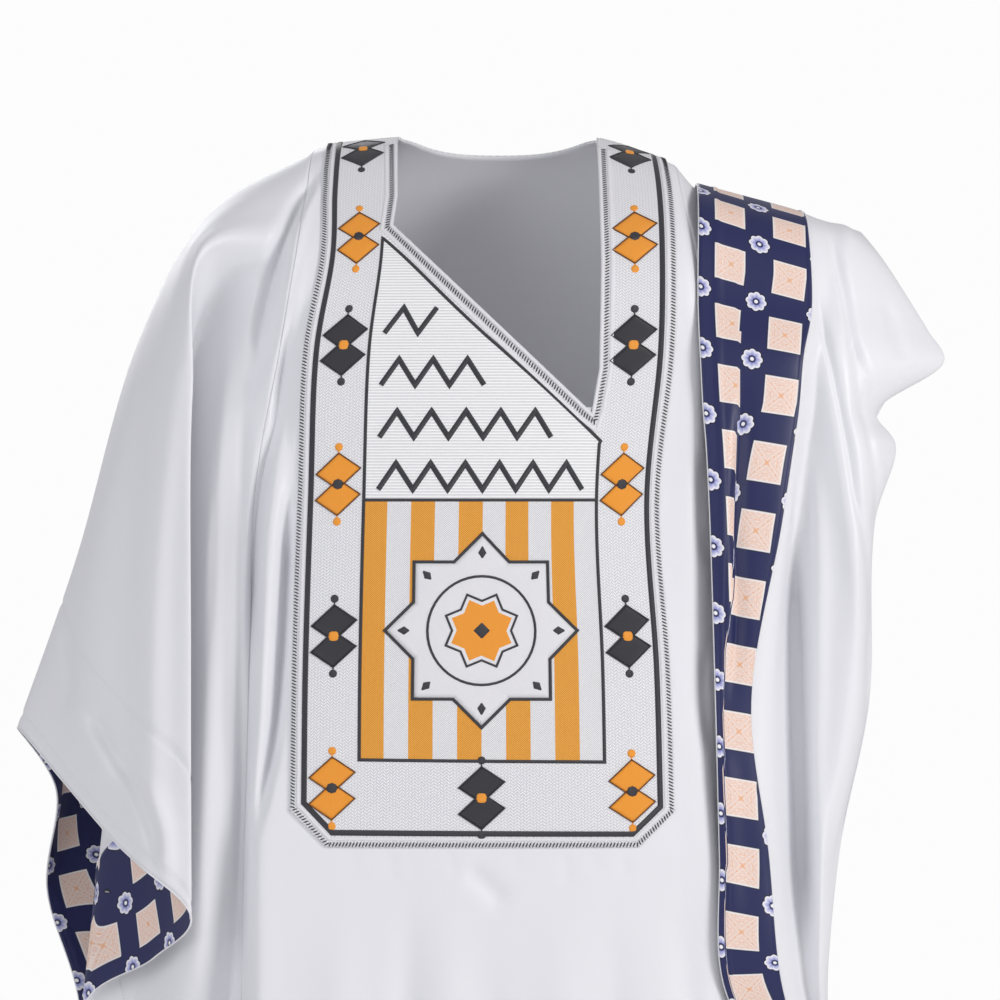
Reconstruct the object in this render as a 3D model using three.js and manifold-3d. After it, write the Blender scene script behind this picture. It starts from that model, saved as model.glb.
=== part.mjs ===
// A wide-sleeved robe of white satin with an embroidered chest panel, worn open on a
// general figure: the wearer's right sleeve hangs, the left one is folded onto the shoulder.
// Millimetres, +Z up, +X to the wearer's left, -Y to the front. The origin is the middle of the
// shoulder line, under the cloth, where the wearer's shoulders hold the robe.
import * as THREE from "three";
import { mergeVertices } from "three/addons/utils/BufferGeometryUtils.js";
import Module from "manifold-3d";

// Driving sizes.
const CLOTH = 2; // thickness of the satin wall
const BIB_CLOTH = 1.6; // thickness of the embroidered panel
const FACING_CLOTH = 1; // thickness of the printed facing
const CLEAR = 0.3; // gap between a panel and what lies on it
const SEAM = 2.9; // between the middle lines of two walls that meet at a seam
const SHOULDER_GAP = 0.7; // from the shoulder line to the edge of the front or the back
const FACING_DEPTH = 110; // depth of the printed facing inside the hanging mouth
const BIB_CORNER = 28; // cut across each lower corner of the bib
const BAND_DEPTH = 1.5; // depth of the band behind the neck, in levels of the back
const BAND_LEAST = 0.3; // and its least depth, beside the seams
const NECK_HALF = 80; // half width of the neck opening on the shoulder line
const NECK_DIP = 1.8; // how far the neck opening reaches down the back, in levels
const YOKE_SHARE = 0.42; // place of the yoke between the shoulder and the collar
const YOKE_RISE = 9; // how far the shoulder bulges there
const TUCK_IN = 14; // how far the folded sleeve's under layer lies inside its top layer
const UNDER_IN = 12;
const TUCK_SHARE = 0.14;
const UNDER_SHARE = 0.55;

// The front and the back: a row for each fold line from the shoulder to the hem. x and y are at
// the shoulder, collar, throat, chest, bust, belly, bib's end, waist, fork and hem.
const FRONT_Z = [-40, -92, -165, -280, -410, -545];
const FRONT = [
  { name: "right seam", top: 0, low: [-760, -960, -1140],
    x: [-147, -152, -158, -170, -190, -193, -197, -203, -222, -290],
    y: [0, -62, -99, -111, -111, -110, -107, -98, 0, 0] },
  { name: "side ply", top: 1, low: [-750, -945, -1140],
    x: [-144, -148, -152, -163, -179, -183, -190, -196, -214, -276],
    y: [0, -63, -101, -117, -127, -127, -127, -122, -54, -72] },
  { name: "side groove", top: 2, low: [-735, -930, -1140],
    x: [-141, -144, -146, -157, -167, -175, -183, -186, -196, -244],
    y: [0, -64, -101, -115, -121, -123, -135, -136, -108, -98] },
  { name: "bib right", top: 3, low: [-715, -905, -1140],
    x: [-137.5, -139, -139, -151, -155, -159, -161, -166, -172, -204],
    y: [0, -64, -101, -118, -126, -131, -138, -139, -138, -152] },
  { name: "neck right", top: 9, low: [-690, -880, -1140],
    x: [-80, -80, -82, -92, -98, -101, -103, -105, -108, -120],
    y: [0, -66, -103, -122, -134, -138, -141, -141, -136, -132] },
  { name: "middle", top: 14, low: [-665, -850, -1138],
    x: [-2, -5, -8, -11, -13, -14, -14, -14, -13, -8],
    y: [0, -68, -106, -126, -138, -141, -143, -144, -148, -162] },
  { name: "neck left", top: 8, low: [-645, -815, -1130],
    x: [78, 79, 80, 77, 74, 76, 78, 80, 84, 100],
    y: [0, -66, -103, -123, -134, -138, -141, -141, -138, -134] },
  { name: "bib left", top: -9, low: [-625, -780, -1118],
    x: [129.5, 135, 136, 134, 122, 130, 134, 138, 150, 190],
    y: [0, -63, -100, -117, -126, -130, -134, -134, -140, -156] },
  { name: "side fold", top: -11, low: [-610, -745, -1105],
    x: [132.5, 139, 146, 153, 151, 152, 164, 170, 186, 238],
    y: [0, -61, -97, -113, -122, -123, -126, -124, -112, -102] },
  { name: "left seam", top: -13, low: [-600, -705, -1085],
    x: [136, 142, 152, 160, 166, 170, 174, 182, 216, 285],
    y: [0, -58, -91, -102, -103, -103, -103, -96, 0, 0] },
];
const BACK = [
  { name: "right seam", top: 0, z: [-40, -92, -165, -280, -410, -545, -760, -960, -1140],
    x: [-147, -152, -158, -170, -184, -190, -194, -203, -222, -290],
    y: [0, 58, 94, 110, 112, 110, 106, 98, 0, 0] },
  { name: "band right", top: 2.5, z: [-37, -88, -165, -280, -410, -545, -735, -930, -1140],
    x: [-137.5, -141, -144, -152, -160, -164, -168, -176, -194, -246],
    y: [0, 62, 100, 120, 128, 121, 119, 120, 96, 104] },
  { name: "right fold", top: 9, z: [-22, -80, -160, -280, -410, -545, -700, -880, -1140],
    x: [-80, -84, -88, -92, -96, -98, -100, -104, -120, -150],
    y: [0, 69, 106, 124, 130, 130, 130, 131, 140, 156] },
  { name: "middle", top: 14, z: [-6, -72, -155, -280, -410, -545, -670, -850, -1138],
    x: [0, 0, 0, 0, 0, 0, 0, 0, 0, 0],
    y: [0, 74, 110, 130, 137, 131, 126, 127, 132, 136] },
  { name: "left fold", top: 8, z: [-22, -80, -160, -280, -410, -545, -645, -815, -1130],
    x: [80, 84, 88, 92, 94, 96, 98, 102, 118, 150],
    y: [0, 69, 106, 124, 131, 130, 130, 131, 142, 160] },
  { name: "band left", top: -9, z: [-40, -90, -165, -280, -410, -545, -615, -750, -1105],
    x: [129.5, 133, 138, 142, 146, 148, 150, 156, 186, 240],
    y: [0, 60, 96, 116, 123, 118, 118, 119, 102, 106] },
  { name: "left seam", top: -13, z: [-44, -94, -165, -280, -410, -545, -600, -705, -1085],
    x: [136, 142, 152, 160, 166, 170, 174, 182, 216, 285],
    y: [0, 56, 88, 100, 103, 103, 103, 96, 0, 0] },
];

// The hanging sleeve: a row for each fold line from the armhole to the mouth, round the sleeve
// from the line along the arm. seam is its place on the seam, in levels down the front and up the
// back: 0 is the shoulder, 9 the fork and 18 the shoulder again.
const HANGING = [
  { name: "arm", seam: 0, upper: [-232, 0, -52], middle: [-287, 0, -150],
    lower: [-339, 0, -328], mouth: [-386, 0, -462] },
  { name: "arm front", seam: 1.4, upper: [-231, -48, -62], middle: [-278, -58, -166],
    lower: [-324, -62, -352], mouth: [-342, -60, -501] },
  { name: "first ply", seam: 2.2, upper: [-230, -76, -72], middle: [-260, -100, -182],
    lower: [-284, -108, -374], mouth: [-296, -110, -544] },
  { name: "first fold", seam: 2.7, upper: [-227, -96, -84], middle: [-236, -128, -196],
    lower: [-236, -142, -400], mouth: [-235, -150, -596] },
  { name: "second ply", seam: 2.9, upper: [-222, -78, -104], middle: [-250, -86, -226],
    lower: [-270, -92, -430], mouth: [-268, -100, -634] },
  { name: "valley", seam: 3.1, upper: [-222, -56, -126], middle: [-262, -45, -258],
    lower: [-303, -40, -458], mouth: [-326, -56, -676] },
  { name: "third ply", seam: 4.2, upper: [-207, -98, -240], middle: [-238, -84, -400],
    lower: [-272, -66, -600], mouth: [-318, -44, -790] },
  { name: "third ply low", seam: 6.6, upper: [-208, -106, -540], middle: [-236, -98, -660],
    lower: [-272, -76, -800], mouth: [-316, -34, -905] },
  { name: "under seam", seam: 9, upper: [-238, 0, -982], middle: [-258, 0, -1002],
    lower: [-286, 0, -1022], mouth: [-318, 0, -1040] },
  { name: "back low", seam: 10.8, upper: [-208, 104, -640], middle: [-236, 100, -740],
    lower: [-278, 88, -800], mouth: [-334, 58, -880] },
  { name: "back fold", seam: 13.4, upper: [-212, 112, -300], middle: [-250, 116, -420],
    lower: [-300, 110, -570], mouth: [-347, 94, -694] },
  { name: "back ply", seam: 15, upper: [-222, 88, -140], middle: [-268, 96, -270],
    lower: [-326, 90, -440], mouth: [-372, 82, -600] },
  { name: "arm back", seam: 16.5, upper: [-230, 46, -68], middle: [-282, 52, -180],
    lower: [-338, 46, -372], mouth: [-360, 42, -514] },
];

// The folded sleeve: a row for each place round it, from the shoulder down the front, under and up
// the back. y and z are those of its outer fold, turn is the angle of its outward side from up
// towards the front, and x and out are at the outer fold, light ply, valley, white band, facing's
// edge and mouth, out being the distance from the outer fold along the outward side.
const FOLDED = [
  { name: "shoulder", seam: 0, y: 0, z: -66, turn: 0,
    x: [288, 272, 262, 252, 240, 157], out: [0, 5, 7, 10, 15, 38] },
  { name: "yoke", seam: 1.3, y: -30, z: -100, turn: 45,
    x: [309, 275, 262, 252, 241, 155], out: [0, 38, 40, 43, 46, 66] },
  { name: "throat", seam: 2.6, y: -40, z: -147, turn: 75,
    x: [338, 268, 252, 246, 241, 153], out: [0, 48, 50, 53, 57, 72] },
  { name: "corner", seam: 3.6, y: -42, z: -170, turn: 90,
    x: [350, 262, 246, 238, 233, 154], out: [0, 58, 56, 66, 72, 82] },
  { name: "notch", seam: 4.1, y: -60, z: -211, turn: 90,
    x: [294, 267, 243, 233, 229, 156], out: [0, 46, 36, 52, 58, 67] },
  { name: "knee", seam: 4.5, y: -64, z: -237, turn: 90,
    x: [309, 271, 239, 229, 225, 158], out: [0, 45, 30, 51, 57, 66] },
  { name: "bust", seam: 5.1, y: -70, z: -300, turn: 90,
    x: [290, 276, 231, 221, 215, 161], out: [0, 42, 20, 50, 57, 62] },
  { name: "belly", seam: 6.2, y: -76, z: -435, turn: 90,
    x: [287, 268, 226, 206, 192, 165], out: [0, 32, 12, 46, 52, 58] },
  { name: "hip", seam: 7.2, y: -80, z: -550, turn: 90,
    x: [264, 250, 231, 212, 205, 168], out: [0, 26, 10, 40, 48, 54] },
  { name: "low", seam: 8, y: -84, z: -645, turn: 95,
    x: [254, 247, 235, 224, 215, 171], out: [0, 20, 10, 32, 40, 48] },
  { name: "front corner", seam: 8.6, y: -55, z: -700, turn: 130,
    x: [258, 254, 250, 244, 238, 214], out: [0, 10, 10, 20, 26, 40] },
  { name: "under", seam: 9, y: 0, z: -712, turn: 180,
    x: [262, 261, 259, 256, 253, 246], out: [0, 8, 8, 15, 21, 30] },
  { name: "back corner", seam: 9.4, y: 55, z: -700, turn: 230,
    x: [258, 254, 250, 244, 238, 214], out: [0, 10, 10, 20, 26, 40] },
  { name: "back low", seam: 10.1, y: 80, z: -635, turn: 270,
    x: [256, 247, 237, 224, 215, 171], out: [0, 18, 10, 28, 36, 46] },
  { name: "back belly", seam: 11.9, y: 74, z: -420, turn: 270,
    x: [284, 262, 235, 214, 206, 163], out: [0, 30, 16, 38, 46, 54] },
  { name: "back blade", seam: 13.6, y: 62, z: -235, turn: 270,
    x: [298, 266, 244, 234, 228, 156], out: [0, 38, 30, 44, 50, 60] },
  { name: "back throat", seam: 15.4, y: 40, z: -147, turn: 285,
    x: [336, 268, 252, 246, 241, 153], out: [0, 46, 48, 50, 54, 68] },
  { name: "back yoke", seam: 16.7, y: 28, z: -98, turn: 315,
    x: [306, 275, 262, 252, 241, 155], out: [0, 36, 38, 41, 44, 62] },
];

// The neck opening as seen from the front: two upright sides and a slanting lower edge.
const NECK_EDGE = [[-81.5, 9], [-80, -42], [-83, -67], [70, -213], [76, -179], [78, -95], [77, 9]];
const NECK_ABOVE = 60; // how far the cut for the neck reaches above the shoulders
const NECK_REACH = 300; // and how far to the front

// Steps of the walls between one fold line, level or station and the next.
const FRONT_ACROSS = [2, 2, 2, 4, 4, 4, 4, 2, 2];
const BACK_ACROSS = [2, 4, 4, 4, 4, 2];
const BODY_DOWN = [2, 2, 2, 2, 2, 2, 2, 2, 3, 3];
const BAND_ROWS = 5;
const BACK_ROWS = 16;
const BACK_CLOSER = 1.2; // how much closer the back's rows lie at the top
const HANGING_ROUND = 3;
const HANGING_ALONG = 13;
const HANGING_STATIONS = 5;
const FOLDED_ROUND = 2;
const FOLDED_ALONG = [1, 2, 3, 3, 3, 2, 1, 3];
const FACING_ALONG = 3; // the last of FOLDED_ALONG too
const SEAM_OPENS = 12; // how soon a sleeve's front and back part beside the shoulder and the fork
const BIB_LINES = [3, 7]; // the lines of FRONT that the bib lies between
const BAND_LINES = [5, 1]; // and those of BACK that the neck band lies between
const BIB_LEVELS = 7; // the levels that the bib covers, down to its lower edge

const colours = { satin: 0xf1f1f6, bib: 0xe9e8ea, print: 0x2a2d5a };
const gloss = { satin: 0.42, bib: 0.62, print: 0.5 };

const at = (xyz) => new THREE.Vector3(...xyz);

// A sheet of cloth through its fold lines. down runs along the lines and across runs from line to
// line, both counted in points, so that down = 2 is every line's third point. keep moves a point to
// where the sheet is held.
function sheetThrough(lines, closed, keep) {
  const curves = lines.map((points) => new THREE.CatmullRomCurve3(points));
  const spans = closed ? lines.length : lines.length - 1;
  const free = (downs, across) => {
    const row = curves.map((curve, i) => curve.getPoint(downs[i] / (curve.points.length - 1)));
    return new THREE.CatmullRomCurve3(row, closed).getPoint(across / spans);
  };
  const point = (down, across) => {
    const downs = Array.isArray(down) ? down : curves.map(() => down);
    return keep(free(downs, across), downs, across, free);
  };
  return { curves, spans, point };
}

// The places between the points of a line, with the given number of steps in each span.
function places(steps, first = 0) {
  const found = [first];
  steps.forEach((count, span) => {
    for (let i = 1; i <= count; i += 1) found.push(first + span + i / count);
  });
  return found;
}

// A layer of cloth: the rows of points of its middle surface, and their normals.
function layerOf(rows, closed = false) {
  const count = rows[0].length;
  const normals = rows.map((row, i) => row.map((_, j) => {
    const before = closed ? (j + count - 1) % count : Math.max(j - 1, 0);
    const after = closed ? (j + 1) % count : Math.min(j + 1, count - 1);
    const across = rows[i][after].clone().sub(rows[i][before]);
    const down = rows[Math.min(i + 1, rows.length - 1)][j].clone().sub(rows[Math.max(i - 1, 0)][j]);
    return down.cross(across).normalize();
  }));
  return { rows, normals, closed };
}

// Part of a layer, from one row and column to another, with the normals of the whole.
function patchOf({ rows, normals }, [top, bottom], [first, last]) {
  const crop = (grid) => grid.slice(top, bottom + 1).map((row) => row.slice(first, last + 1));
  return { rows: crop(rows), normals: crop(normals), closed: false };
}

// A closed wall of cloth: a layer moved out by lift, thick all over, with its edges joined.
function wall({ rows, normals, closed }, thickness, lift = 0) {
  const count = rows[0].length;
  const positions = [];
  for (const side of [0.5, -0.5]) {
    rows.forEach((row, i) => row.forEach((point, j) => {
      const moved = point.clone().addScaledVector(normals[i][j], lift + side * thickness);
      positions.push(moved.x, moved.y, moved.z);
    }));
  }
  const inner = rows.length * count;
  const bottom = rows.length - 1;
  const index = (i, j) => i * count + (j % count);
  const faces = [];
  const quad = (a, b, c, d) => faces.push(a, b, c, a, c, d);
  const columns = closed ? count : count - 1;
  for (let i = 0; i < bottom; i += 1) {
    for (let j = 0; j < columns; j += 1) {
      const [a, b, c, d] = [index(i, j), index(i + 1, j), index(i + 1, j + 1), index(i, j + 1)];
      quad(a, b, c, d);
      faces.push(inner + a, inner + c, inner + b, inner + a, inner + d, inner + c);
    }
  }
  const rim = (a, b) => quad(a, inner + a, inner + b, b);
  for (let j = 0; j < columns; j += 1) {
    rim(index(0, j + 1), index(0, j));
    rim(index(bottom, j), index(bottom, j + 1));
  }
  for (let i = 0; i < bottom && !closed; i += 1) {
    rim(index(i, 0), index(i + 1, 0));
    rim(index(i + 1, count - 1), index(i, count - 1));
  }
  const geometry = new THREE.BufferGeometry();
  geometry.setAttribute("position", new THREE.Float32BufferAttribute(positions, 3));
  geometry.setIndex(faces);
  return geometry;
}

// The points of one body fold line, with a yoke between the shoulder and the collar.
function bodyLine(row, facing) {
  const heights = [row.top, ...(row.z ?? [...FRONT_Z, ...row.low])];
  const points = row.x.map((x, i) => at([x, row.y[i] || facing * SHOULDER_GAP, heights[i]]));
  const yoke = points[0].clone().lerp(points[1], YOKE_SHARE);
  yoke.z += YOKE_RISE;
  points.splice(1, 0, yoke);
  return points;
}

function bodySheet(table, facing) {
  const keep = (point) => point.setY(facing * Math.max(facing * point.y, SHOULDER_GAP));
  return sheetThrough(table.map((row) => bodyLine(row, facing)), false, keep);
}
const front = bodySheet(FRONT, -1);
const back = bodySheet(BACK, 1);

// The front's rows run to the wearer's left and the back's to the right, so that their normals
// face out.
const frontDowns = places(BODY_DOWN);
const frontAcrosses = places(FRONT_ACROSS);
const frontLayer = layerOf(frontDowns.map((down) => frontAcrosses.map((across) => front.point(down, across))));

// The back starts at the neck opening's curve. Its first rows are those of the neck band.
const neckDip = (x) => NECK_DIP * Math.sqrt(1 - Math.min(Math.abs(x) / NECK_HALF, 1) ** 2);
function bandEnd(x) {
  const edge = BACK[x < 0 ? BAND_LINES[1] : BAND_LINES[0]].x[0];
  const inside = Math.max(1 - (x / edge) ** 2, 0);
  return Math.max((NECK_DIP + BAND_DEPTH) * Math.sqrt(inside), BAND_LEAST);
}
const backAcrosses = places(BACK_ACROSS).reverse();
function backRow(first, last, share) {
  return backAcrosses.map((across) => {
    const { x } = back.point(0, across);
    return back.point(THREE.MathUtils.lerp(first(x), last(x), share), across);
  });
}
const hem = () => FRONT[0].x.length;
const backRows = [
  ...places([BAND_ROWS]).map((share) => backRow(neckDip, bandEnd, share)),
  ...places([BACK_ROWS]).slice(1).map((share) => backRow(bandEnd, hem, share ** BACK_CLOSER)),
];
const backLayer = layerOf(backRows);

// A seam: the edge of the front or the back that a sleeve keeps to, SEAM away from it. Its places
// are counted in levels, down the front from 0 and up the back from the fork to twice the fork.
const FORK = 9;
function seamPoint(line, away) {
  return (place) => {
    const level = place <= FORK ? place : 2 * FORK - place;
    const point = place <= FORK
      ? front.point(level, line.front)
      : back.point(level, line.back);
    point.x += away * SEAM;
    const shut = Math.min(level, FORK - level, 1);
    return point.setY(point.y * Math.min(shut * SEAM_OPENS, 1));
  };
}
const rightSeam = seamPoint({ front: 0, back: 0 }, -1);
const leftSeam = seamPoint({ front: front.spans, back: back.spans }, 1);

// A sleeve's sheet: its first row is held to the seam, and lets go of it by the second.
function sleeveThrough(table, lineOf, seam) {
  const placeAt = (across) => {
    const line = Math.min(Math.floor(across), table.length - 1);
    const next = line + 1 < table.length ? table[line + 1].seam : 2 * FORK;
    return THREE.MathUtils.lerp(table[line].seam, next, across - line);
  };
  const keep = (point, downs, across, free) => {
    const down = downs[Math.floor(across) % downs.length];
    if (down >= 1) return point;
    const held = seam(placeAt(across)).sub(free(downs.map(() => 0), across));
    return point.addScaledVector(held, (1 - down) ** 2);
  };
  return sheetThrough(table.map(lineOf), true, keep);
}

const hanging = sleeveThrough(HANGING, (row) => [
  rightSeam(row.seam), at(row.upper), at(row.middle), at(row.lower), at(row.mouth),
], rightSeam);

const folded = sleeveThrough(FOLDED, (row) => {
  const start = leftSeam(row.seam);
  const turn = THREE.MathUtils.degToRad(row.turn);
  const outward = at([0, -Math.sin(turn), Math.cos(turn)]);
  const returning = row.x.map((x, i) => at([x, row.y, row.z]).addScaledVector(outward, row.out[i]));
  const tuck = start.clone().lerp(returning[0], TUCK_SHARE).addScaledVector(outward, -TUCK_IN);
  const under = start.clone().lerp(returning[0], UNDER_SHARE).addScaledVector(outward, -UNDER_IN);
  return [start, tuck, under, ...returning];
}, leftSeam);

// The rings of a sleeve's sheet, from the armhole to the mouth. Their points run down the front of
// the right sleeve and up that of the left one, so that the normals face away from the lining side.
const placesRound = (sheet, steps) => places(Array(sheet.spans).fill(steps)).slice(0, -1);
function sleeveLayer(sheet, round, downs) {
  return layerOf(downs.map((down) => round.map((across) => sheet.point(down, across))), true);
}

// The hanging sleeve's last rings lie evenly over its facing, FACING_DEPTH deep on every line.
function hangingDowns() {
  const mouth = HANGING_STATIONS - 1;
  const starts = hanging.curves.map((line) => line.getUtoTmapping(1 - FACING_DEPTH / line.getLength()) * mouth);
  const above = places([HANGING_ALONG]).slice(0, -1).map((share) => starts.map((start) => start * share));
  const within = places([FACING_ALONG]).map((share) => (
    starts.map((start) => THREE.MathUtils.lerp(start, mouth, share))
  ));
  return [...above, ...within];
}
const hangingLayer = sleeveLayer(hanging, placesRound(hanging, HANGING_ROUND), hangingDowns());
const foldedLayer = sleeveLayer(folded, placesRound(folded, FOLDED_ROUND).reverse(), places(FOLDED_ALONG));
const facingOf = (layer) => ({
  rows: layer.rows.slice(-FACING_ALONG - 1),
  normals: layer.normals.slice(-FACING_ALONG - 1),
  closed: true,
});

// Boolean cuts.
const wasm = await Module();
wasm.setup();

function solidOf(geometry) {
  const merged = mergeVertices(geometry, 1e-4);
  return new wasm.Manifold(new wasm.Mesh({
    numProp: 3,
    vertProperties: new Float32Array(merged.getAttribute("position").array),
    triVerts: new Uint32Array(merged.index.array),
  }));
}

function geometryOf(solid) {
  const mesh = solid.getMesh();
  const geometry = new THREE.BufferGeometry();
  geometry.setAttribute("position", new THREE.BufferAttribute(mesh.vertProperties, 3));
  geometry.setIndex(new THREE.BufferAttribute(mesh.triVerts, 1));
  return geometry;
}

// A prism that runs from the front to the middle of the robe, over an outline of [x, z] points.
function prismOver(outline, reach) {
  const shape = new THREE.Shape(outline.map(([x, z]) => new THREE.Vector2(x, z)));
  const prism = new THREE.ExtrudeGeometry(shape, { depth: reach, bevelEnabled: false });
  prism.rotateX(Math.PI / 2);
  prism.deleteAttribute("normal");
  prism.deleteAttribute("uv");
  return solidOf(prism);
}

const neckOutline = [
  [NECK_EDGE[0][0], NECK_ABOVE],
  ...NECK_EDGE,
  [NECK_EDGE[6][0], NECK_ABOVE],
];
const neckCut = prismOver(neckOutline, NECK_REACH);

function cut(geometry, ...tools) {
  return geometryOf(tools.reduce((solid, tool) => solid.subtract(tool), solidOf(geometry)));
}

function part(name, geometry, material) {
  const finish = new THREE.MeshStandardMaterial({
    color: colours[material],
    roughness: gloss[material],
    metalness: 0,
  });
  const mesh = new THREE.Mesh(geometry, finish);
  mesh.name = name;
  return mesh;
}

// The front and the bib that lies on it, both cut out for the neck.
const bibLift = CLOTH / 2 + CLEAR + BIB_CLOTH / 2;
const bibColumns = BIB_LINES.map((line) => frontAcrosses.indexOf(line));
const bibPatch = patchOf(frontLayer, [0, frontDowns.indexOf(BIB_LEVELS)], bibColumns);
const cornerCuts = BIB_LINES.map((line, i) => {
  const { x, z } = front.point(BIB_LEVELS, line);
  const out = (i === 0 ? -1 : 1) * BIB_CORNER;
  return prismOver([
    [x + out, z - BIB_CORNER],
    [x + out, z + BIB_CORNER * 2],
    [x, z + BIB_CORNER],
    [x - out, z],
    [x - out, z - BIB_CORNER],
  ], NECK_REACH);
});

// The back's band joins the bib's two straps behind the neck.
const bandColumns = BAND_LINES.map((line) => backAcrosses.indexOf(line));
const bandPatch = patchOf(backLayer, [0, BAND_ROWS], bandColumns);

const facingLift = -(CLOTH / 2 + CLEAR + FACING_CLOTH / 2);

const robe = new THREE.Group();
robe.add(
  part("front", cut(wall(frontLayer, CLOTH), neckCut), "satin"),
  part("back", wall(backLayer, CLOTH), "satin"),
  part("bib", cut(wall(bibPatch, BIB_CLOTH, bibLift), neckCut, ...cornerCuts), "bib"),
  part("neck_band", wall(bandPatch, BIB_CLOTH, bibLift), "bib"),
  part("sleeve_right", wall(hangingLayer, CLOTH), "satin"),
  part("sleeve_left", wall(foldedLayer, CLOTH), "satin"),
  part("facing_right", wall(facingOf(hangingLayer), FACING_CLOTH, facingLift), "print"),
  part("facing_left", wall(facingOf(foldedLayer), FACING_CLOTH, facingLift), "print"),
);

export default robe;
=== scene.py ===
import math

import bpy
import numpy as np
from mathutils import Matrix


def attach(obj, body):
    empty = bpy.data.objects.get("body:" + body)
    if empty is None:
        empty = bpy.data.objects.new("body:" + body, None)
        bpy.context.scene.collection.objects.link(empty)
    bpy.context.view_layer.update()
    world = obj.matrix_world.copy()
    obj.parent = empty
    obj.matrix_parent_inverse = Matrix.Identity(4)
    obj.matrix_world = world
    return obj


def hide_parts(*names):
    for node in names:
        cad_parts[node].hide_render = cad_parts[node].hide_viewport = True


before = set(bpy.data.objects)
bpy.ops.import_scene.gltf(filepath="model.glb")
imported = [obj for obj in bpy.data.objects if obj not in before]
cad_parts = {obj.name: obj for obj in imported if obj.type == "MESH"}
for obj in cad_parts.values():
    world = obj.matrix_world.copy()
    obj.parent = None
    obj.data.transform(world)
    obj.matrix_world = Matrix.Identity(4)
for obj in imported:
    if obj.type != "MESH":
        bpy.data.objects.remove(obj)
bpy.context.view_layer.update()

# ---------------------------------------------------------------------------------------------
# Sizes of the robe, in millimetres: +X to the wearer's left, -Y to the front, +Z up. The origin is
# the middle of the shoulder line.
MM, TO_MM = 0.001, 1000
SATIN = 0.8  # thickness of the satin
PANEL = 1.2  # thickness of the embroidered panel and the neck band
LINING = 0.6  # thickness of the printed facing
CLEAR = 0.12  # gap between a panel and what lies on it
SEAM = 0.3  # between the edges of two cloths that meet at a seam
SHOULDER_GAP = 0.2  # from the shoulder line to the edge of the front or the back
FACING_DEPTH = 110  # depth of the printed facing inside the hanging mouth
BIB_CORNER = 28  # cut across each lower corner of the bib
BAND_DEPTH = 1.5  # depth of the band behind the neck, in levels of the back
BAND_LEAST = 0.3  # and the least level that it reaches
NECK_HALF = 80  # half width of the neck opening on the shoulder line
NECK_DIP = 1.8  # how far the neck opening reaches down the back, in levels
YOKE_SHARE = 0.42  # place of the yoke between the shoulder and the collar
YOKE_RISE = 9  # of the yoke above a straight line between them
TUCK_IN = 14  # how far the folded sleeve's under layer lies inside its top layer
UNDER_IN = 12
TUCK_SHARE, UNDER_SHARE = 0.14, 0.55  # where it does, from the seam to the outer fold
SEAM_OPENS = 12  # how soon a seam opens past its ends
FORK = 9  # level of the fork, where a sleeve's underside meets the side of the body
BIB_LINES = (3, 7)  # the lines of FRONT that the bib lies between
BAND_LINES = (5, 1)  # and those of BACK that the neck band lies between

# The fold lines of the front and the back, from the shoulder to the hem: (top, low z) and x, y at
# the shoulder, collar, throat, chest, bust, belly, bib's end, waist, fork and hem.
FRONT_Z = [-40, -92, -165, -280, -410, -545]
FRONT = {
    "right seam": (0, [-760, -960, -1140],
                   [-147, -152, -158, -170, -190, -193, -197, -203, -222, -290],
                   [0, -62, -99, -111, -111, -110, -107, -98, 0, 0]),
    "side ply": (1, [-750, -945, -1140],
                 [-144, -148, -152, -163, -179, -183, -190, -196, -214, -276],
                 [0, -63, -101, -117, -127, -127, -127, -122, -54, -72]),
    "side groove": (2, [-735, -930, -1140],
                    [-141, -144, -146, -157, -167, -175, -183, -186, -196, -244],
                    [0, -64, -101, -115, -121, -123, -135, -136, -108, -98]),
    "bib right": (3, [-715, -905, -1140],
                  [-137.5, -139, -139, -151, -155, -159, -161, -166, -172, -204],
                  [0, -64, -101, -118, -126, -131, -138, -139, -138, -152]),
    "neck right": (9, [-690, -880, -1140],
                   [-80, -80, -82, -92, -98, -101, -103, -105, -108, -120],
                   [0, -66, -103, -122, -134, -138, -141, -141, -136, -132]),
    "middle": (14, [-665, -850, -1138],
               [-2, -5, -8, -11, -13, -14, -14, -14, -13, -8],
               [0, -68, -106, -126, -138, -141, -143, -144, -148, -162]),
    "neck left": (8, [-645, -815, -1130],
                  [78, 79, 80, 77, 74, 76, 78, 80, 84, 100],
                  [0, -66, -103, -123, -134, -138, -141, -141, -138, -134]),
    "bib left": (-9, [-625, -780, -1118],
                 [129.5, 135, 136, 134, 122, 130, 134, 138, 150, 190],
                 [0, -63, -100, -117, -126, -130, -134, -134, -140, -156]),
    "side fold": (-11, [-610, -745, -1105],
                  [132.5, 139, 146, 153, 151, 152, 164, 170, 186, 238],
                  [0, -61, -97, -113, -122, -123, -126, -124, -112, -102]),
    "left seam": (-13, [-600, -705, -1085],
                  [136, 142, 152, 160, 166, 170, 174, 182, 216, 285],
                  [0, -58, -91, -102, -103, -103, -103, -96, 0, 0]),
}
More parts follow.
